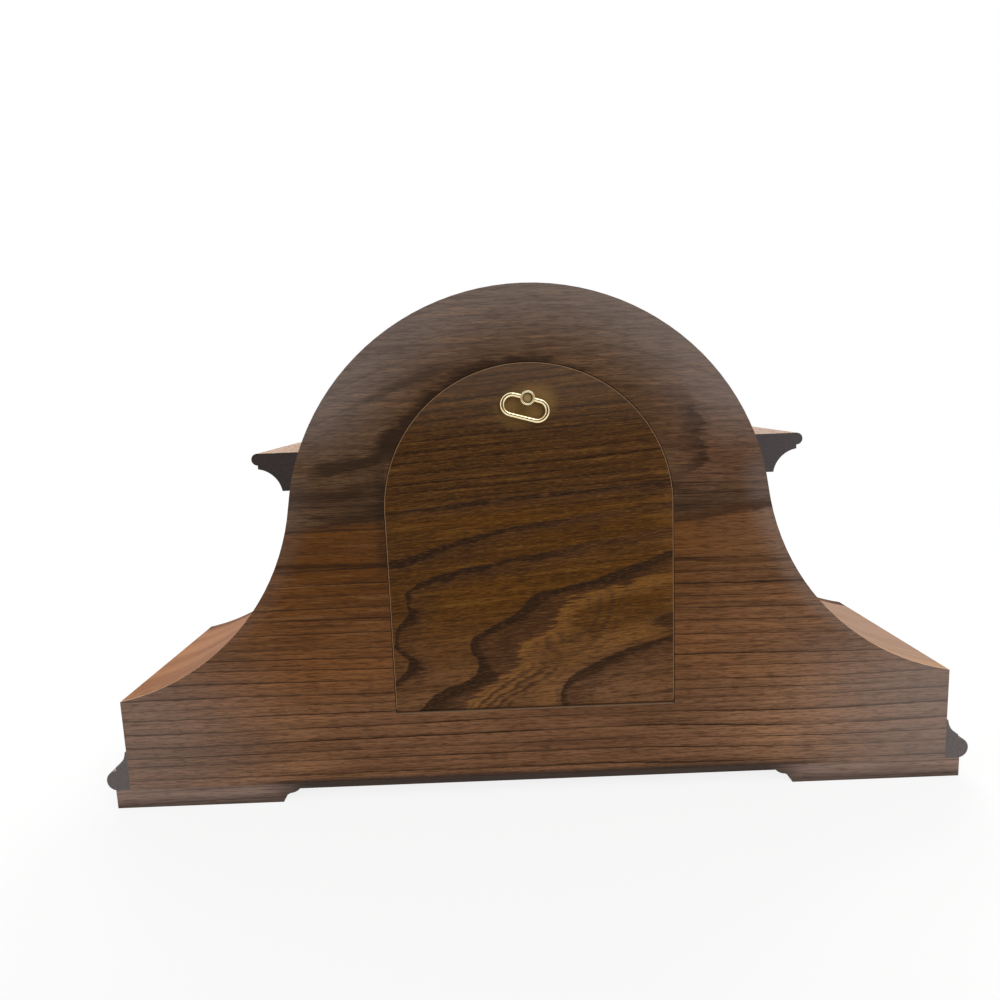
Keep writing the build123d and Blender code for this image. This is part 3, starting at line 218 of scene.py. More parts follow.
def walnut_back():
    """Dark walnut veneer of the back: a cloudy arched figure on top, straight rings below."""
    f = Finish("walnut_back")
    x, z = f.x, f.z
    upper = z.rise(0.152, 0.182)
    arched = z + upper * x * x * 2.2
    streaks, pores, _ = grain(f, x, z, 1.0)
    clouds = f.noise(x * 9, arched * 50, 7.0, 3.0, 0.6)
    lines = growth_lines(f, x, arched, 0.0064, 3.0)
    faint = growth_lines(f, x, z, 0.0029, 31.0)
    flecks = f.noise(x * 210, z * 1700, 33.0, 1.0)

    ragged = (f.noise(x * 130, z * 900, 8.0, 2.0, 0.6) - 0.5) * 0.012
    ragged = ragged + (f.noise(x * 45, z * 120, 8.0) - 0.5) * 0.012
    door_edge = length(x, z - DOOR_SPRING) - DOOR_RADIUS
    reach = f.drawn(x, (-75, -2), (-52, -0.5), (-22, 1.5), (0, 3), (30, 4.5), (52, 4.5), (66, 8), (80, 11))
    hood = (door_edge + ragged * 0.7 - reach).fall(-0.0030, 0.0022) * z.rise(0.170, 0.182)
    trail = z - f.drawn(x, (40, 190), (66, 184.5), (78, 179), (92, 176.5), (112, 174), (150, 173)) + ragged * 0.7
    trail = trail.hill(-0.007, -0.003, 0.000, 0.004) * x.hill(0.062, 0.070, 0.098, 0.114)
    sweep = z - f.drawn(x, (30, 223), (60, 214), (85, 202), (105, 196), (150, 190)) + ragged * 0.5
    sweep = sweep.hill(-0.004, -0.001, 0.000, 0.003) * x.hill(0.030, 0.044, 0.075, 0.100) * 0.5
    hook = f.drawn(z, (150, -70), (164, -80), (167.5, -86), (172.3, -88.4), (181.2, -86.1), (188.5, -86.8),
                   (197.3, -84.5), (203.2, -80.5), (210.5, -75), (225, -60))
    hook = x - hook + ragged * 1.2
    hook = hook.hill(0.0, 0.0015, 0.003, 0.014) * z.hill(0.163, 0.168, 0.196, 0.212)
    hook = hook * (0.62 + 0.38 * streaks.rise(0.42, 0.56))
    level = z - f.drawn(x, (-125, 5), (-95, 0.8), (-72, -2), (72, 1.5), (100, -1.5), (125, -3)) + ragged * 0.3
    belt_share = 0.7 - 0.4 * x.fall(-0.105, -0.070)
    belt = level.hill(0.143, 0.151, 0.161, 0.172) * clouds.rise(0.34, 0.60) * belt_share
    strand = z - f.drawn(x, (60, 150.3), (72, 149.3), (103, 146), (125, 144)) + ragged * 0.3
    strand = strand.hill(-0.0025, -0.0008, 0.0012, 0.0030) * x.hill(0.060, 0.070, 0.092, 0.112) * 0.75
    figure = hood.most(trail * 0.9).most(hook * 0.82).most(belt).most(sweep).most(strand)
    dashes = (pores + figure * 0.14).rise(0.53, 0.63).most((flecks + figure * 0.06).rise(0.55, 0.65) * 0.8)

    base = f.mix(z.rise(0.030, 0.075), shade(150, 107, 76), shade(122, 79, 45))
    base = f.mix(abs(x).fall(0.090, 0.130) * z.fall(0.040, 0.060) * 0.7, base, shade(118, 82, 58))
    base = f.mix(z.rise(0.075, 0.126), base, shade(98, 59, 23))
    base = f.mix(level.rise(0.143, 0.150), base, shade(92, 68, 48))
    base = f.mix(clouds.rise(0.38, 0.70) * 0.50, base, shade(70, 45, 26))
    # Painted light: the lower right side, seen from behind, is painted paler, as where more light falls on it.
    base = f.mix(x.fall(-0.150, -0.040) * z.fall(0.140, 0.165) * 0.20, base, shade(164, 130, 106))

    # Painted reflection: a grey veil of sheen painted over the arch top, the lower corners and the sides, a little
    # stronger on the right.
    arch = length(x, z - DIAL_HEIGHT)
    arch_glare = arch.rise(0.082, 0.122) * z.rise(0.168, 0.208) * 0.56
    side = f.drawn(z, (46, 220), (58.5, 211.9), (64.4, 196.9), (74.2, 175.4), (86.8, 157.9), (100.4, 144.5),
                   (114.6, 135.2), (129.7, 127.4), (144.7, 121.2), (159.6, 117.5), (175, 116))
    side_glare = (abs(x) - side).rise(-0.016, 0.0) * z.fall(0.160, 0.185) * (0.14 + 0.16 * x.fall(-0.1, 0.1))
    corner_glare = abs(x).rise(0.110, 0.215) * z.fall(0.050, 0.110) * (0.46 + 0.14 * x.fall(-0.1, 0.1))
    painted_sheen = arch_glare.most(corner_glare).most(side_glare)
    flush = x.fall(-0.085, -0.060) * z.hill(0.150, 0.165, 0.205, 0.230)
    base = f.mix(flush * 0.22, base, shade(122, 80, 64))
    base = f.mix(painted_sheen * 0.6, base, shade(132, 122, 118))

    strip = z - f.drawn(x, (-125, -5), (-95, -4.6), (-77, -3.5), (77, 0), (125, 0.8)) + ragged * 0.1
    quiet = strip.rise(0.1262, 0.1290) * level.fall(0.139, 0.145)
    rough_grain = 0.28 + 0.20 * upper + 0.16 * z.hill(0.070, 0.085, 0.112, 0.126)
    base = f.mix(streaks.rise(0.46, 0.70) * rough_grain * (1 - 0.6 * quiet), base, shade(54, 34, 19))
    base = f.mix(streaks.fall(0.32, 0.46) * rough_grain * 0.7, base, shade(144, 104, 68))
    base = f.mix(lines * (1.0 - 0.60 * upper) * (1 - 0.9 * quiet), base, shade(48, 32, 22))
    base = f.mix(faint * 0.46 * (1 - 0.5 * upper) * (1 - 0.75 * quiet), base, shade(50, 32, 21))
    base = f.mix(figure * 0.82, base, shade(40, 28, 20))
    base = f.mix(dashes * 0.46, base, shade(38, 26, 18))
    # The painted reflection veil again, laid over the grain, a little stronger on the right.
    base = f.mix(painted_sheen * (0.52 + 0.20 * x.fall(-0.1, 0.0)), base, shade(128, 116, 110))
    strip_share = 0.70 - 0.35 * x.fall(-0.105, -0.082)
    base = f.mix(strip.hill(0.1238, 0.1246, 0.1252, 0.1270) * strip_share, base, shade(46, 29, 18))
    # Painted shadow: a dark band just outside the door's left edge, seen from behind.
    edge_shadow = x.hill(0.0700, 0.0710, 0.0722, 0.0785) * z.hill(0.116, 0.126, 0.168, 0.182)
    base = f.mix(edge_shadow * (0.40 + 0.30 * dashes), base, shade(38, 28, 22))
    seam = (level + ragged * 0.15).hill(0.1425, 0.1440, 0.1446, 0.1490) * x.fall(-0.090, -0.060)
    base = f.mix(seam * 0.7, base, shade(52, 34, 23))
    # Painted shade: the panel darkens towards both of its ends.
    base = f.mix(abs(x).rise(0.2125, 0.2200) * 0.35, base, shade(70, 60, 56))
    dusk = (z + ragged * 0.1).fall(0.0103, 0.0132) * abs(x).fall(0.125, 0.165)
    base = f.mix(dusk * 0.9, base, shade(56, 46, 42))
    edge_wood_and_glare = f.mix(streaks.rise(0.40, 0.70) * 0.6, shade(156, 110, 78), shade(130, 88, 60))
    # Painted light: the edge is painted paler towards the right, a painted sheen, and a pale line along its rear rim is
    # a painted highlight.
    edge_wood_and_glare = f.mix(x.fall(-0.22, 0.0) * 0.60, edge_wood_and_glare, shade(180, 150, 126))
    edge_wood_and_glare = f.mix(f.y.rise(0.0655, 0.0660) * 0.8, edge_wood_and_glare, shade(206, 176, 148))
    # Within the door's opening the edges take a darker wood colour; its sill is painted pale, painted light that
    # brightens the shaded slit under the door.
    opening = abs(x).fall(0.0730, 0.0740) * z.fall(0.2235, 0.2245)
    edge_wood_and_glare = f.mix(opening, edge_wood_and_glare, f.mix(z.fall(0.045, 0.047), shade(92, 66, 48), shade(190, 156, 124)))
    face = f.facing_back(0.55, 0.85)
    base = f.mix(face, edge_wood_and_glare, base)
    return f.close(
        Base_Color=base,
        Roughness=0.44 + 0.12 * clouds + 0.12 * dashes + 0.3 * (1 - face),
        Specular_IOR_Level=0.03,
        Normal=f.bump(streaks * 0.4 - dashes * 0.7 - lines * 0.5, 0.00012, 0.4),
    )


def door_veneer():
    """Figured veneer of the access door: fine straight grain on top, dark waves below."""
    f = Finish("door_veneer")
    x, z = f.x, f.z
    slanted = z + x * 0.07
    streaks, pores, clouds = grain(f, x, slanted, 40.0)
    flecks = f.noise(x * 300, slanted * 2300, 43.0, 1.0)
    wobble = (f.noise(x * 60, z * 90, 6.0, 2.0) - 0.5) * 0.007
    teeth = (f.noise(x * 75, slanted * 620, 9.0, 2.0, 0.6) - 0.5) * 0.018

    def past(*places):
        """How far a place lies to the right of a drawn edge, seen from behind and square to the edge."""
        edge = f.drawn(z, *((height, side) for side, height in places))
        square = []
        for before, (_, height), after in zip(places[:1] + places, places, places[1:] + places[-1:]):
            slope = (after[0] - before[0]) / (after[1] - before[1])
            square.append((height, 200 / math.hypot(1, slope)))
        return (edge - x - wobble) * f.drawn(z, *square) * 5

    main = past((66, 42), (56.8, 50.5), (48.7, 58.3), (33, 64.1), (28.7, 69.3), (30, 73.6), (33.2, 81.7), (26.9, 88.3),
                (16.5, 93.1), (7.2, 99), (0.9, 105.9), (-9.3, 109.3), (-24.4, 112.3), (-34.6, 115.5), (-44.6, 118.7),
                (-54.7, 122.4), (-64.7, 125.8), (-110, 141))
    end = past((40, 42), (35.2, 49.6), (30.9, 54.3), (23.5, 59.9), (15.1, 64.9), (7.1, 71.6), (9, 75.4), (7.9, 79.6),
               (-0.9, 84.5), (-9.5, 90.3), (-11.8, 95.5), (-14.4, 99.2), (-20.2, 103.1), (-29.4, 106.9), (-44.5, 110.5),
               (-54.6, 113.2), (-64.7, 115.8), (-72.7, 118.3), (-110, 128))
    left = past((95, 46), (78, 58), (71.4, 64.6), (66.6, 68.7), (65.3, 72.4), (71.3, 83.2), (71, 88.5),
                (63.8, 98.7), (64.5, 104), (63.6, 110.7), (45.6, 119.3),
                (15.3, 125.2), (-24.9, 132.3), (-44.9, 135.5), (-90, 142))
    high = past((130, 119), (71.1, 127.5), (52.4, 131.8), (44.8, 134.1), (24.7, 139.3), (-10, 145), (-60, 151),
                (-110, 158))
    top = past((130, 146), (63.7, 152.5), (28.9, 156.1), (-5.8, 158.7), (-35.4, 160.5), (-110, 168))
    low = past((-14.5, 42), (-12.9, 47.6), (-12.6, 54), (-14.2, 59), (-18.2, 62.6), (-28.6, 69), (-44, 75.9),
               (-59.3, 80.6), (-68.5, 83.4), (-110, 95))
    swell = f.noise(x * 50, z * 50, 5.0, 2.0).rise(0.30, 0.70)

    def wave(edge, core, body, reach):
        """A dark edge of uneven width that fades to the right, with a paler body up to reach."""
        ragged = edge + teeth * 0.35
        width = core * (0.5 + 0.8 * swell)
        dark = ragged.fall(width * 0.4, width) * (1 - body) + (edge + teeth).fall(reach * 0.4, reach) * body
        return (edge + teeth * 0.15).rise(0.0, 0.0012) * dark

    past_end = end + teeth * 0.8
    core = 1 + 0.7 * z.fall(0.058, 0.076)
    body = 0.65 + 0.35 * (main + teeth * 0.3).fall(core * 0.0030, core * 0.0070)
    figure = (main + teeth * 0.15).rise(0.0, 0.0012) * past_end.fall(-0.001, 0.0012) * body
    figure = figure.most(wave(left, 0.0080, 0.42, 0.020) * (1 - 0.45 * x.fall(-0.050, 0.020)))
    figure = figure.most(wave(high, 0.0070, 0.42, 0.011) * (1 - 0.40 * x.fall(-0.050, 0.020)))
    figure = figure.most(wave(top, 0.0045, 0.45, 0.009) * 0.9)
    figure = figure.most(wave(low, 0.0100, 0.60, 0.021) * 0.92)
    knot = length((x + 0.0715) / 0.0175, (z - 0.0907 + wobble) / 0.0060) + teeth * 25
    figure = figure.most(knot.fall(0.45, 1.0) * 0.85)
    ripples = ((end + teeth * 0.25) / 0.0040).fraction().hill(0.0, 0.25, 0.40, 0.80)
    ripples = ripples * end.hill(0.001, 0.003, 0.012, 0.022) * z.fall(0.062, 0.080)
    eye = length((x + 0.0235 + teeth * 0.2) / 0.0080, (z + x * 0.5 - 0.0850 + wobble) / 0.0095)
    swirls = (eye * 1.25).fraction().hill(0.30, 0.70, 0.80, 1.0) * eye.hill(0.5, 0.8, 1.9, 3.6)
    swirls = swirls * past_end.rise(0.002, 0.005)
    second = ((low + teeth * 0.3) / 0.0065).fraction().hill(0.0, 0.3, 0.4, 0.8) * low.hill(0.004, 0.008, 0.016, 0.026)
    figure = figure.most(ripples * 0.75).most(swirls * 0.50).most(second * 0.40)
    gleam = past_end.hill(0.0, 0.0012, 0.004, 0.013) * z.fall(0.108, 0.124)
    gleam = gleam.most((low * -1).hill(0.001, 0.003, 0.006, 0.014) * 0.7)

    lines = growth_lines(f, x, slanted, 0.0048, 12.0, 0.34)
    faint = growth_lines(f, x, slanted, 0.0023, 15.0)
    plain = z.rise(0.146, 0.160)
    dashes = (pores + figure * 0.08).rise(0.53, 0.63).most((flecks + figure * 0.05).rise(0.54, 0.66) * 0.75)
    base = f.mix(z.rise(0.052, 0.105), shade(118, 80, 48), shade(88, 54, 14))
    base = f.mix(plain, base, shade(80, 51, 24))
    base = f.mix(z.fall(0.050, 0.090) * x.fall(-0.040, 0.020) * 0.80, base, shade(134, 96, 70))
    base = f.mix(z.fall(0.046, 0.078) * x.rise(-0.020, 0.030) * 0.60, base, shade(124, 87, 60))
    base = f.mix(clouds.rise(0.38, 0.70) * 0.5, base, shade(66, 40, 14))
    base = f.mix(streaks.rise(0.46, 0.70) * 0.50, base, shade(52, 31, 11))
    base = f.mix(streaks.fall(0.32, 0.46) * 0.35, base, shade(124, 84, 36))
    base = f.mix(gleam * 0.50, base, shade(138, 94, 48))
    base = f.mix(lines * (0.08 + 0.78 * plain), base, shade(36, 22, 11))
    base = f.mix(faint * (0.15 + 0.50 * plain), base, shade(40, 25, 12))
    base = f.mix(figure * 0.88, base, f.mix(figure.rise(0.60, 0.92), shade(70, 46, 32), shade(42, 28, 19)))
    base = f.mix(flecks.fall(0.34, 0.47) * 0.22, base, shade(128, 88, 44))
    base = f.mix(dashes * 0.52, base, shade(34, 20, 10))
    # Painted reflection: a grey veil of sheen towards the top of the door.
    base = f.mix(z.rise(0.180, 0.222) * 0.24, base, shade(108, 94, 84))
    worn = length((x + 0.0005) / 0.0185, (z + x * 0.15 - 0.2012) / 0.0125).fall(0.45, 1.0)
    base = f.mix(worn * 0.52, base, shade(136, 106, 58))

    # Painted highlight: a thin pale line along the door's arched edge and sides, as where light catches it.
    sides = length(x, (z - DOOR_SPRING).most(0.0))
    rim = sides.rise(0.07105, 0.07130) * z.rise(0.048, 0.052)
    base = f.mix(rim * 0.65, base, shade(150, 120, 90))
    inside = f.mix(streaks.rise(0.42, 0.70) * 0.7, shade(128, 92, 62), shade(92, 62, 40))
    inside = f.mix(pores.rise(0.53, 0.63) * 0.5, inside, shade(62, 42, 28))
    base = f.mix(f.y.fall(0.0585, 0.0592), base, inside)
    return f.close(
        Base_Color=base,
        Roughness=0.40 + 0.12 * clouds + 0.12 * dashes,
        Specular_IOR_Level=0.05,
        Normal=f.bump(streaks * 0.4 - dashes * 0.7 - figure * 0.3, 0.00012, 0.4),
    )


def stained_wood(
    name, along, across, light, dark, gloss, seed, shine=0.3, ends=None, lines_share=0.5, glare_share=0.0, dull_edges=0.0
):
    """Stained, lacquered wood with its grain along one axis of the clock. Rear ends can show end grain, in a grey that
    is partly painted shade.
    """
    f = Finish(name)
    axes = {"x": f.x, "y": f.y, "z": f.z}
    third = axes[({"x", "y", "z"} - {along, across}).pop()]
    level = axes[across] + third * 0.35
    streaks, pores, clouds = grain(f, axes[along], level, seed)
    dashes = pores.rise(0.54, 0.70)
    lines = growth_lines(f, axes[along], level, 0.0072, seed)
    base = f.mix(clouds.rise(0.34, 0.70), light, dark)
    # Painted reflection: the wood is painted paler towards the right of the clock, seen from behind, a sheen of glare.
    right_glare = f.x.fall(-0.22, 0.0) * glare_share
    base = f.mix(right_glare, base, shade(162, 144, 130))
    base = f.mix(streaks.rise(0.46, 0.72) * 0.45, base, dark)
    base = f.mix(lines * lines_share, base, dimmed(dark, 0.45))
    base = f.mix(dashes * 0.35, base, dimmed(dark, 0.45))
    rough = gloss + 0.12 * clouds + 0.10 * dashes
    if dull_edges:
        rough = rough + (1 - f.facing_back(0.55, 0.85)) * dull_edges
    # Rear faces take the given end colour, a grey that is partly painted shade; the painted sheen pales them towards
    # the right.
    if ends:
        rear = f.facing_back(0.75, 0.95)
        speck = f.noise(f.x * 800, f.y * 60, f.z * 800)
        bare = f.mix(speck.rise(0.35, 0.7) * 0.5, ends, dimmed(ends, 0.6))
        base = f.mix(rear, base, f.mix(right_glare * 0.35, bare, shade(128, 124, 126)))
        rough = rough + rear * 0.15
    return f.close(
        Base_Color=base,
        Roughness=rough,
        Specular_IOR_Level=shine,
        Normal=f.bump(streaks * 0.4 - dashes * 0.6 - lines * 0.3, 0.0001, 0.45),
    )


def plinth_back():
    """The plinth's rear rail: the back's veneer, darker towards the shelf and between the feet."""
    f = Finish("plinth_back")
    x, z = f.x, f.z
    streaks, pores, clouds = grain(f, x, z, 70.0)
    lines = growth_lines(f, x, z, 0.0060, 71.0)
    base = f.mix(streaks.rise(0.40, 0.70) * 0.6, shade(140, 116, 104), shade(104, 82, 70))
    base = f.mix(lines * 0.6, base, shade(50, 36, 28))
    base = f.mix(pores.rise(0.52, 0.68) * 0.4, base, shade(48, 34, 26))
    between = abs(x).fall(0.118, 0.150)
    dusk = ((z + (clouds - 0.5) * 0.003).fall(0.0, 0.007) * 0.7).most(between * 0.95)
    base = f.mix(dusk * 0.92, base, shade(46, 38, 34))
    return f.close(
        Base_Color=base,
        Roughness=0.48 + 0.14 * clouds,
        Specular_IOR_Level=0.12,
        Normal=f.bump(streaks * 0.4 - lines * 0.4, 0.00012, 0.5),
    )


# Metal, paint and glass
def metal(name, colour, rough, brushed=None, tarnish=None, scratch=0.3):
    """A metal with brushing along one axis, fine scratches and slight tarnish."""
    f = Finish(name)
    scales = {axis: 60.0 if axis == brushed else 2600.0 for axis in "xyz"}
    lines = f.noise(f.x * scales["x"], f.y * scales["y"], f.z * scales["z"], 2.0, 0.6)
    stains = f.noise(f.x * 70, f.y * 70, f.z * 70, 3.0, 0.6)
    dark = tarnish or dimmed(colour, 0.55)
    base = f.mix(stains.rise(0.45, 0.75) * 0.45, colour, dark)
    base = f.mix(lines.rise(0.45, 0.75) * 0.25, base, dark)
    return f.close(
        Base_Color=base,
        Metallic=1.0,
        Roughness=rough + 0.14 * stains + 0.10 * lines,
        Normal=f.bump(lines, 0.00003, scratch),
    )


def pull_brass():
    """Polished brass of the ring pull, a little stained, and browned in the stud's cup."""
    f = Finish("pull_brass")
    stains = f.noise(f.x * 300, f.y * 300, f.z * 300, 3.0, 0.6)
    scuffs = f.noise(f.x * 1500, f.y * 1500, f.z * 400, 2.0, 0.6)
    base = f.mix(stains.rise(0.50, 0.80) * 0.30, shade(255, 236, 190), shade(214, 170, 100))
    stud = length(f.x - STUD_SIDE, f.z - STUD_HEIGHT)
    cup = stud.fall(0.0023, 0.0027)
    dirt = stud.hill(0.0016, 0.0021, 0.0024, 0.0027)
    rim = stud.hill(0.0025, 0.0028, 0.0034, 0.0037)
    # Painted highlight: the rim is painted brighter at its top and bottom, where it mirrors the light.
    worn = rim * abs(f.z - STUD_HEIGHT).rise(0.0008, 0.0028)
    base = f.mix(rim * 0.8, base, f.mix(worn, shade(220, 188, 134), shade(255, 244, 210)))
    base = f.mix(cup, base, f.mix(stains, shade(176, 147, 98), shade(116, 93, 57)))
    base = f.mix(dirt * 0.8, base, shade(84, 60, 30))
    return f.close(
        Base_Color=base,
        Metallic=1.0 - 0.6 * cup - 0.5 * rim,
        Roughness=0.06 + 0.10 * stains + 0.06 * scuffs + 0.30 * cup,
        Normal=f.bump(scuffs, 0.00002, 0.1),
    )


def dial_paint():
    """Ivory dial paint, a little yellowed towards its edge and specked with age."""
    f = Finish("dial_paint")
    radius = length(f.x, f.z - DIAL_HEIGHT)
    speck = f.noise(f.x * 700, f.y * 700, f.z * 700, 3.0).rise(0.66, 0.78)
    cloud = f.noise(f.x * 40, f.y * 40, f.z * 40, 3.0)
    base = f.mix(cloud, shade(236, 227, 203), shade(228, 214, 182))
    base = f.mix(radius.rise(0.045, 0.078) * 0.6, base, shade(208, 186, 142))
    base = f.mix(speck * 0.35, base, shade(150, 122, 80))
    return f.close(Base_Color=base, Roughness=0.42 + 0.18 * cloud, Normal=f.bump(cloud + speck, 0.00004, 0.4))


def dial_ink():
    f = Finish("dial_ink")
    cloud = f.noise(f.x * 500, f.y * 500, f.z * 500, 3.0)
    base = f.mix(cloud.rise(0.35, 0.75), shade(22, 20, 19), shade(48, 44, 40))
    return f.close(Base_Color=base, Roughness=0.45 + 0.2 * cloud)


def dome_glass():
    f = Finish("dome_glass")
    smear = f.noise(f.x * 35, f.y * 35, f.z * 60, 3.0).rise(0.5, 0.8)
    return f.close(
        Base_Color=(0.97, 0.985, 0.98, 1.0),
        Roughness=0.01 + 0.05 * smear,
        IOR=1.46,
        Transmission_Weight=1.0,
    )


def black_casting(name, colour, rough, pitted):
    f = Finish(name)
    pits = f.noise(f.x * pitted, f.y * pitted, f.z * pitted, 3.0)
    base = f.mix(pits.rise(0.4, 0.75), colour, tuple(level * 2.4 + 0.004 for level in colour[:3]) + (1.0,))
    return f.close(Base_Color=base, Roughness=rough + 0.2 * pits, Normal=f.bump(pits, 0.0002, 0.5))


def ruby():
    f = Finish("jewel_red")
    swirl = f.noise(f.x * 900, f.y * 900, f.z * 900)
    base = f.mix(swirl, shade(170, 20, 48), shade(110, 8, 28))
    return f.close(Base_Color=base, Roughness=0.08 + 0.05 * swirl, Coat_Weight=1.0)


UMBER = shade(96, 58, 36)
DEEP = shade(58, 36, 24)
TAN = shade(160, 107, 66)
RUST = shade(136, 87, 50)
SAND = shade(174, 142, 116)
SORREL = shade(156, 122, 96)
GREY_END = shade(96, 89, 87)
walnut = walnut_back()
door_wood = door_veneer()
front_wood = stained_wood(
    "walnut_front", "x", "z", shade(118, 74, 42), shade(74, 44, 26), 0.30, 2.0, 0.14, dull_edges=0.5
)
end_wood = stained_wood("walnut_end", "y", "z", shade(120, 76, 46), shade(78, 48, 30), 0.30, 4.0)
skin_wood = stained_wood("shoulder_veneer", "x", "y", TAN, RUST, 0.50, 6.0, 0.02, lines_share=0.2, glare_share=0.62)
side_moulding = stained_wood("moulding_side", "y", "z", UMBER, DEEP, 0.30, 8.0, 0.2, GREY_END)
cornice_wood = stained_wood("cornice", "y", "z", SAND, SORREL, 0.50, 9.0, 0.02, shade(58, 51, 49), 0.1, 0.75)
front_moulding = stained_wood("moulding_front", "x", "z", UMBER, DEEP, 0.28, 10.0)
plinth_wood = plinth_back()
side_plinth = stained_wood("plinth_side", "y", "z", UMBER, DEEP, 0.36, 13.0)
bare_board = stained_wood("bare_board", "x", "y", shade(168, 128, 84), shade(134, 98, 60), 0.55, 14.0)
polished_brass = metal("polished_brass", (0.93, 0.76, 0.42, 1.0), 0.04, tarnish=(0.74, 0.52, 0.22, 1.0), scratch=0.08)
movement_brass = metal("movement_brass", (0.76, 0.57, 0.26, 1.0), 0.24, "z")
blued_steel = metal("blued_steel", (0.035, 0.055, 0.16, 1.0), 0.18, tarnish=(0.02, 0.025, 0.07, 1.0))
arbor_steel = metal("arbor_steel", (0.56, 0.57, 0.58, 1.0), 0.22, "y")
spring_steel = metal("spring_steel", (0.34, 0.35, 0.39, 1.0), 0.30)
handled_brass = pull_brass()
ivory = dial_paint()
ink = dial_ink()
glass = dome_glass()
gong_iron = black_casting("gong_iron", shade(34, 34, 35), 0.5, 700)
magnet_black = black_casting("magnet_black", shade(24, 24, 24), 0.45, 1500)
jewel_red = ruby()

finishes = {
    "front_board": front_wood, "back_panel": walnut, "arch_skin": skin_wood, "right_shoulder_skin": skin_wood,
    "left_shoulder_skin": skin_wood, "right_end_panel": end_wood, "left_end_panel": end_wood,
    "bottom_board": bare_board, "right_cornice": cornice_wood, "left_cornice": cornice_wood,
    "base_moulding_front": front_moulding, "base_moulding_right": side_moulding,
    "base_moulding_left": side_moulding, "plinth_rail_front": front_moulding, "plinth_rail_rear": plinth_wood,
    "plinth_rail_right": side_plinth, "plinth_rail_left": side_plinth, "access_door": door_wood,
    "pull_ring": handled_brass, "pull_stud": handled_brass, "dial_plate": ivory, "bezel_glass": glass,
    "gong_block": gong_iron, "door_magnet": magnet_black,
}
by_slot = {
    "polished_brass": polished_brass, "movement_brass": movement_brass, "blued_steel": blued_steel,
    "arbor_steel": arbor_steel, "spring_steel": spring_steel,
}
for subpart in frame["record"]["subparts"]:
    node = nodes[subpart["node"]]
    finish = finishes.get(subpart["node"]) or by_slot[subpart["material_slot"]]
    node.data.materials.clear()
    node.data.materials.append(finish)


# Small pieces that the solids leave to this script
def piece(name, mesh, finish, body):
    thing = bpy.data.objects.new(name, mesh)
    bpy.context.scene.collection.objects.link(thing)
    mesh.materials.clear()
    mesh.materials.append(finish)
    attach(thing, body)
    return thing


def facing(place, towards):
    """A matrix that stands a shape's own z axis along towards, at a place."""
    turn = Vector((0, 0, 1)).rotation_difference(Vector(towards)).to_matrix().to_4x4()
    return Matrix.Translation(Vector(place)) @ turn


def turned(mesh, profile, steps, matrix):
    """Add a ring of (radius, height) points turned about z."""
    rows = []
    for radius, height in profile:
        row = []
        for step in range(steps):
            angle = 2 * math.pi * step / steps
            row.append(mesh.verts.new(matrix @ Vector((radius * math.cos(angle), radius * math.sin(angle), height))))
        rows.append(row)
    for lower, upper in zip(rows, rows[1:]):
        for step in range(steps):
            after = (step + 1) % steps
            mesh.faces.new((lower[step], lower[after], upper[after], upper[step]))
    return rows


def finished(mesh, name, smooth=True):
    bmesh.ops.recalc_face_normals(mesh, faces=mesh.faces)
    data = bpy.data.meshes.new(name)
    mesh.to_mesh(data)
    mesh.free()
    if smooth:
        data.polygons.foreach_set("use_smooth", [True] * len(data.polygons))
        data.set_sharp_from_angle(angle=math.radians(38))
    return data


FIRST_SLOT, NEXT_SLOT = 17, 40


def slotted_screws(name, places, towards, radius, finish, body):
    """Domed screw heads with a milled slot each; the slots lie at different angles."""
    joined = bmesh.new()
    for index, place in enumerate(places):
        head = bmesh.new()
        height = radius * 0.55
        turned_rows = turned(
            head,
            [(radius, -height * 0.3), (radius, height * 0.35), (radius * 0.9, height * 0.62),
             (radius * 0.62, height * 0.88), (radius * 0.3, height), (radius * 0.04, height * 1.02)],
            40,
            Matrix.Identity(4),
        )
        head.faces.new(reversed(turned_rows[0]))
        head.faces.new(turned_rows[-1])
        bmesh.ops.recalc_face_normals(head, faces=head.faces)
        head_data = bpy.data.meshes.new(name + "_head")
        head.to_mesh(head_data)
        head.free()
        cutter = bmesh.new()
        bmesh.ops.create_cube(cutter, size=1.0)
        bmesh.ops.scale(cutter, vec=(radius * 3, radius * 0.28, radius), verts=cutter.verts)
        bmesh.ops.translate(cutter, vec=(0, 0, height * 0.45 + radius / 2), verts=cutter.verts)
        cut_data = bpy.data.meshes.new(name + "_slot")
        cutter.to_mesh(cut_data)
        cutter.free()
        head_thing = bpy.data.objects.new(name + "_head", head_data)
        cut_thing = bpy.data.objects.new(name + "_slot", cut_data)
        for thing in (head_thing, cut_thing):
            bpy.context.scene.collection.objects.link(thing)
        change = head_thing.modifiers.new("slot", "BOOLEAN")
        change.operation = "DIFFERENCE"
        change.object = cut_thing
        change.solver = "EXACT"
        bpy.context.view_layer.update()
        cut = bpy.data.meshes.new_from_object(head_thing.evaluated_get(bpy.context.evaluated_depsgraph_get()))
        cut.transform(facing(place, towards) @ Matrix.Rotation(math.radians(FIRST_SLOT + NEXT_SLOT * index), 4, "Z"))
        joined.from_mesh(cut)
        for thing in (head_thing, cut_thing):
            bpy.data.objects.remove(thing)
    return piece(name, finished(joined, name), finish, body)


PRINT = 0.00006
dial_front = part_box("dial_plate")[0].y


def printed_ring(mesh, inner, outer):
    matrix = facing((0, dial_front, DIAL_HEIGHT), FRONT)
    turned(mesh, [(inner, 0.0), (inner, PRINT), (outer, PRINT), (outer, 0.0)], 180, matrix)


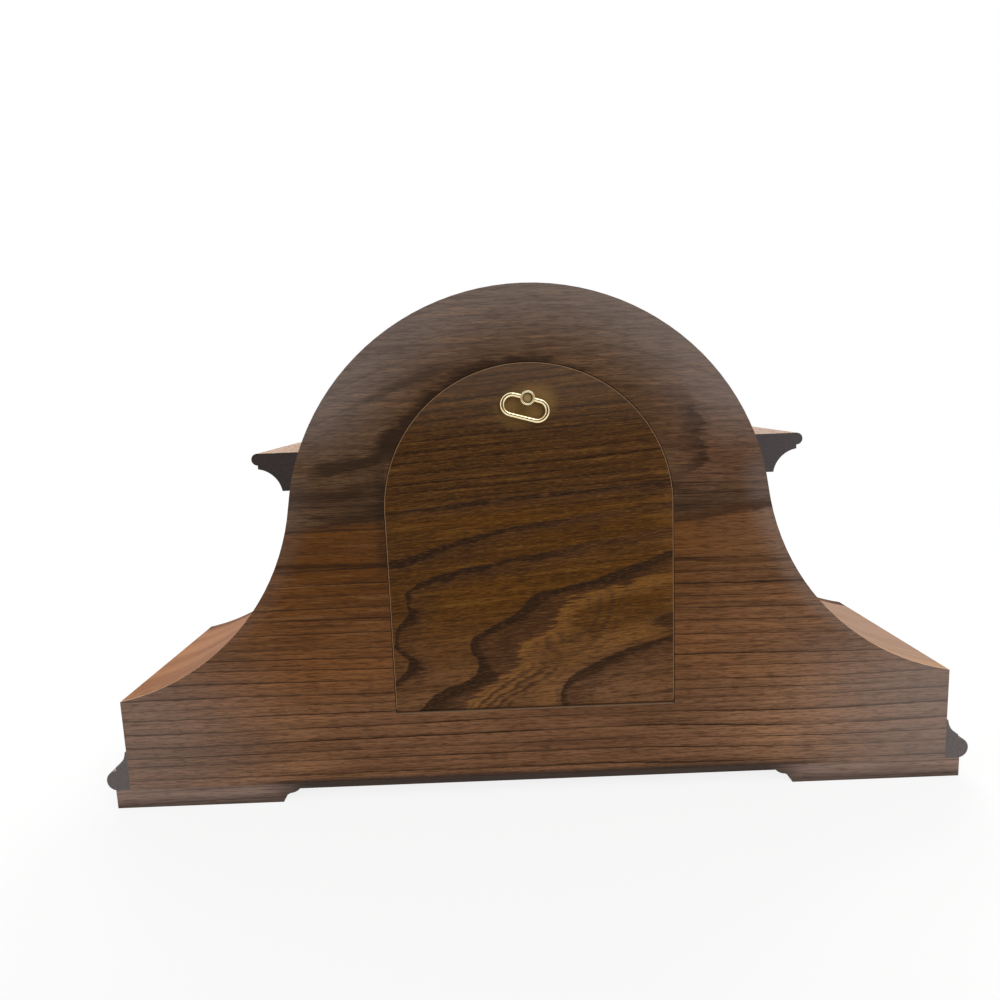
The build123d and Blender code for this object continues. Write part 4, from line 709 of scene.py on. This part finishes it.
def printed_patch(mesh, hour_angle, corners):
    """A flat patch of ink. Corners are (sideways, outwards) about the dial's centre, at an hour's angle."""
    out = Vector((math.sin(hour_angle), 0, math.cos(hour_angle)))
    side = Vector((math.cos(hour_angle), 0, -math.sin(hour_angle)))
    centre = Vector((0, dial_front, DIAL_HEIGHT))
    places = [centre + side * across + out * along for across, along in corners]
    back = [mesh.verts.new(place) for place in places]
    front = [mesh.verts.new(place + Vector((0, -PRINT, 0))) for place in places]
    mesh.faces.new(front)
    for index in range(len(corners)):
        after = (index + 1) % len(corners)
        mesh.faces.new((back[index], back[after], front[after], front[index]))


def printed_bar(mesh, hour_angle, foot, head, width):
    """A slanting or upright stroke whose ends stay level."""
    half = width / 2
    corners = [(foot[0] - half, foot[1]), (foot[0] + half, foot[1]),
               (head[0] + half, head[1]), (head[0] - half, head[1])]
    printed_patch(mesh, hour_angle, corners)


TRACK_INNER, TRACK_OUTER, TRACK_LINE = 0.0602, 0.0640, 0.0003
EDGE_RING, CENTRE_RING = (0.0668, 0.0676), (0.0184, 0.0187)
track = bmesh.new()
for inner, outer in (
    (TRACK_INNER - TRACK_LINE, TRACK_INNER), (TRACK_OUTER, TRACK_OUTER + TRACK_LINE), EDGE_RING, CENTRE_RING,
):
    printed_ring(track, inner, outer)
for minute in range(60):
    heavy = minute % 5 == 0
    reach = 0.0007 if heavy else 0.0
    width = 0.0015 if heavy else 0.0005
    printed_bar(track, math.radians(6 * minute), (0, TRACK_INNER - reach), (0, TRACK_OUTER + reach), width)
piece("dial_minute_track", finished(track, "dial_minute_track", False), ink, "case")

NUMERAL_FOOT, NUMERAL_HEAD = 0.0440, 0.0572
THICK, THIN, SERIF = 0.0018, 0.00055, 0.0005
HOURS = ("I", "II", "III", "IIII", "V", "VI", "VII", "VIII", "IX", "X", "XI", "XII")
GLYPH_WIDTH = {"I": 0.0033, "V": 0.0078, "X": 0.0080}
numerals = bmesh.new()
for hour, letters in enumerate(HOURS, 1):
    hour_angle = math.radians(30 * hour)
    width = sum(GLYPH_WIDTH[letter] for letter in letters)
    left = -width / 2
    for letter in letters:
        spread = GLYPH_WIDTH[letter]
        middle = left + spread / 2
        arm = spread / 2 - THICK / 2 - 0.0006
        if letter == "I":
            printed_bar(numerals, hour_angle, (middle, NUMERAL_FOOT), (middle, NUMERAL_HEAD), THICK)
        elif letter == "V":
            printed_bar(numerals, hour_angle, (middle, NUMERAL_FOOT), (middle - arm, NUMERAL_HEAD), THICK)
            printed_bar(numerals, hour_angle, (middle + THIN, NUMERAL_FOOT), (middle + arm, NUMERAL_HEAD), THIN)
        else:
            printed_bar(numerals, hour_angle, (middle + arm, NUMERAL_FOOT), (middle - arm, NUMERAL_HEAD), THICK)
            printed_bar(numerals, hour_angle, (middle - arm, NUMERAL_FOOT), (middle + arm, NUMERAL_HEAD), THIN)
        for level in (NUMERAL_FOOT, NUMERAL_HEAD):
            if letter == "V" and level == NUMERAL_FOOT:
                continue
            reach = spread / 2 - 0.0002
            corners = [(middle - reach, level - SERIF / 2), (middle + reach, level - SERIF / 2),
                       (middle + reach, level + SERIF / 2), (middle - reach, level + SERIF / 2)]
            printed_patch(numerals, hour_angle, corners)
        left += spread
piece("dial_numerals", finished(numerals, "dial_numerals", False), ink, "case")

grommets = bmesh.new()
for height, bore, width in ((WINDING_HEIGHT, 0.0055, 0.0016), (DIAL_HEIGHT, 0.0050, 0.0012)):
    rim = [(bore - 0.0002, -0.0004), (bore - 0.0002, 0.0004), (bore + width * 0.25, 0.0008),
           (bore + width * 0.7, 0.0007), (bore + width, 0.00025), (bore + width, 0.0)]
    turned(grommets, rim, 72, facing((0, dial_front, height), FRONT))
piece("dial_grommets", finished(grommets, "dial_grommets"), polished_brass, "case")

SCREW_INSET = 0.0045
leaf_low, leaf_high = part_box("bezel_hinge_leaf")
slotted_screws(
    "hinge_screws",
    [(leaf_high.x - 0.0042, leaf_low.y + 0.0034, height)
     for height in (leaf_low.z + SCREW_INSET, leaf_high.z - SCREW_INSET)],
    FRONT, 0.0019, polished_brass, "case",
)
platform_low, platform_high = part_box("escapement_platform")
slotted_screws(
    "platform_screws",
    [(side * 0.0135, platform_high.y, height) for side in (-1, 1)
     for height in (platform_low.z + SCREW_INSET, platform_high.z - SCREW_INSET)],
    REAR, 0.0021, arbor_steel, "case",
)
cock_low, cock_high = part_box("balance_cock")
slotted_screws(
    "cock_screw", [(cock_high.x - 0.0032, cock_high.y, cock_high.z - 0.0032)], REAR, 0.0018, blued_steel, "case",
)
magnet_low, magnet_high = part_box("door_magnet")
slotted_screws(
    "magnet_screws",
    [(side * 0.0085, magnet_low.y, magnet_high.z - SCREW_INSET) for side in (-1, 1)],
    FRONT, 0.0019, arbor_steel, "case",
)
jewel = bmesh.new()
jewel_profile = [(0.0021, -0.0002), (0.0021, 0.0003), (0.0017, 0.0005), (0.0009, 0.0003)]
jewel_rows = turned(jewel, jewel_profile, 48, facing((0, cock_high.y, BALANCE_HEIGHT), REAR))
jewel.faces.new(reversed(jewel_rows[0]))
piece("balance_jewel", finished(jewel, "balance_jewel"), jewel_red, "case")


# Floor, light and camera
WHITE = (1.0, 1.0, 1.0, 1.0)


def shown_white(tree, lit, share):
    """The lit surface, shown white by a share to the eye, in reflections and through glass."""
    kind = "ShaderNodeEmission"
    if isinstance(lit, float):
        kind = "ShaderNodeBackground"
        lit = tree.node(kind, inputs={"Color": WHITE, "Strength": lit})
    white = tree.node(kind, inputs={"Color": WHITE, "Strength": 1.0})
    seen = tree.node("ShaderNodeLightPath", give="Is Camera Ray")
    seen = seen.most(seen.also("Is Glossy Ray")).most(seen.also("Is Transmission Ray"))
    return tree.node("ShaderNodeMixShader", inputs={0: seen * share, 1: lit, 2: white})


def stage_sheet(name, corners, finish):
    mesh = bpy.data.meshes.new(name)
    mesh.from_pydata(corners, [], [(0, 1, 2, 3)])
    mesh.materials.append(finish)
    sheet = bpy.data.objects.new(name, mesh)
    bpy.context.scene.collection.objects.link(sheet)
    return sheet


paint = Finish("floor_paint")
matt = paint.node("ShaderNodeBsdfDiffuse", inputs={"Color": (0.86, 0.86, 0.86, 1.0)})
far = length(paint.x, paint.y).rise(0.35, 1.1)
paint.node("ShaderNodeOutputMaterial", inputs={"Surface": shown_white(paint, matt, 0.85 + 0.15 * far)})
FLOOR = 8.0
floor_corners = [(-FLOOR, -FLOOR, 0), (FLOOR, -FLOOR, 0), (FLOOR, FLOOR, 0), (-FLOOR, FLOOR, 0)]
stage_sheet("floor", floor_corners, paint.material)

world = bpy.data.worlds.new("studio")
world.use_nodes = True
bpy.context.scene.world = world
room = Nodes(world.node_tree)
room.node("ShaderNodeOutputWorld", inputs={"Surface": shown_white(room, 0.5, 1.0)})

felt = Finish("dark_felt")
matt = felt.node("ShaderNodeBsdfDiffuse", inputs={"Color": (0.075, 0.062, 0.046, 1.0)})
felt.node("ShaderNodeOutputMaterial", inputs={"Surface": matt})
CARD_WIDTH, CARD_HEIGHT, CARD_BACK = 0.75, 0.9, 0.85
card = stage_sheet(
    "dark_card",
    [(-CARD_WIDTH, CARD_BACK, 0.01), (CARD_WIDTH, CARD_BACK, 0.01),
     (CARD_WIDTH, CARD_BACK, CARD_HEIGHT), (-CARD_WIDTH, CARD_BACK, CARD_HEIGHT)],
    felt.material,
)
# The card stands behind the camera. It only darkens what polished brass mirrors there.
card.visible_camera = False
card.visible_diffuse = False
card.visible_transmission = False
card.visible_shadow = False


def soft_light(name, place, width, power, colour=(1.0, 1.0, 1.0)):
    lamp = bpy.data.lights.new(name, "AREA")
    lamp.shape = "DISK"
    lamp.size = width
    lamp.energy = power
    lamp.color = colour
    thing = bpy.data.objects.new(name, lamp)
    thing.location = place
    thing.rotation_euler = (Vector((0.0, 0.0, 0.12)) - Vector(place)).to_track_quat("-Z", "Y").to_euler()
    bpy.context.scene.collection.objects.link(thing)


soft_light("window_light", (-0.5, -1.5, 1.3), 1.4, 32.0, (1.0, 0.97, 0.93))
soft_light("room_light", (-0.7, 1.6, 1.4), 1.6, 22.0)
soft_light("dial_side_light", (0.9, -1.3, 0.7), 1.2, 10.0)

camera_data = bpy.data.cameras.new("camera")
camera_data.sensor_width = 36.0
camera_data.lens = 26.46
camera_data.clip_start = 0.01
camera = bpy.data.objects.new("camera", camera_data)
camera_place = Vector((0.0141, 0.4255, 0.2088))
look = Vector((0.0, -0.98916, -0.14687)).normalized()
right = Vector((-0.99923, 0.00575, -0.0388)).normalized()
up = right.cross(look).normalized()
right = look.cross(up).normalized()
camera.matrix_world = Matrix((
    (right.x, up.x, -look.x, camera_place.x),
    (right.y, up.y, -look.y, camera_place.y),
    (right.z, up.z, -look.z, camera_place.z),
    (0.0, 0.0, 0.0, 1.0),
))
bpy.context.scene.collection.objects.link(camera)
bpy.context.scene.camera = camera
bpy.context.scene.view_settings.view_transform = "Standard"
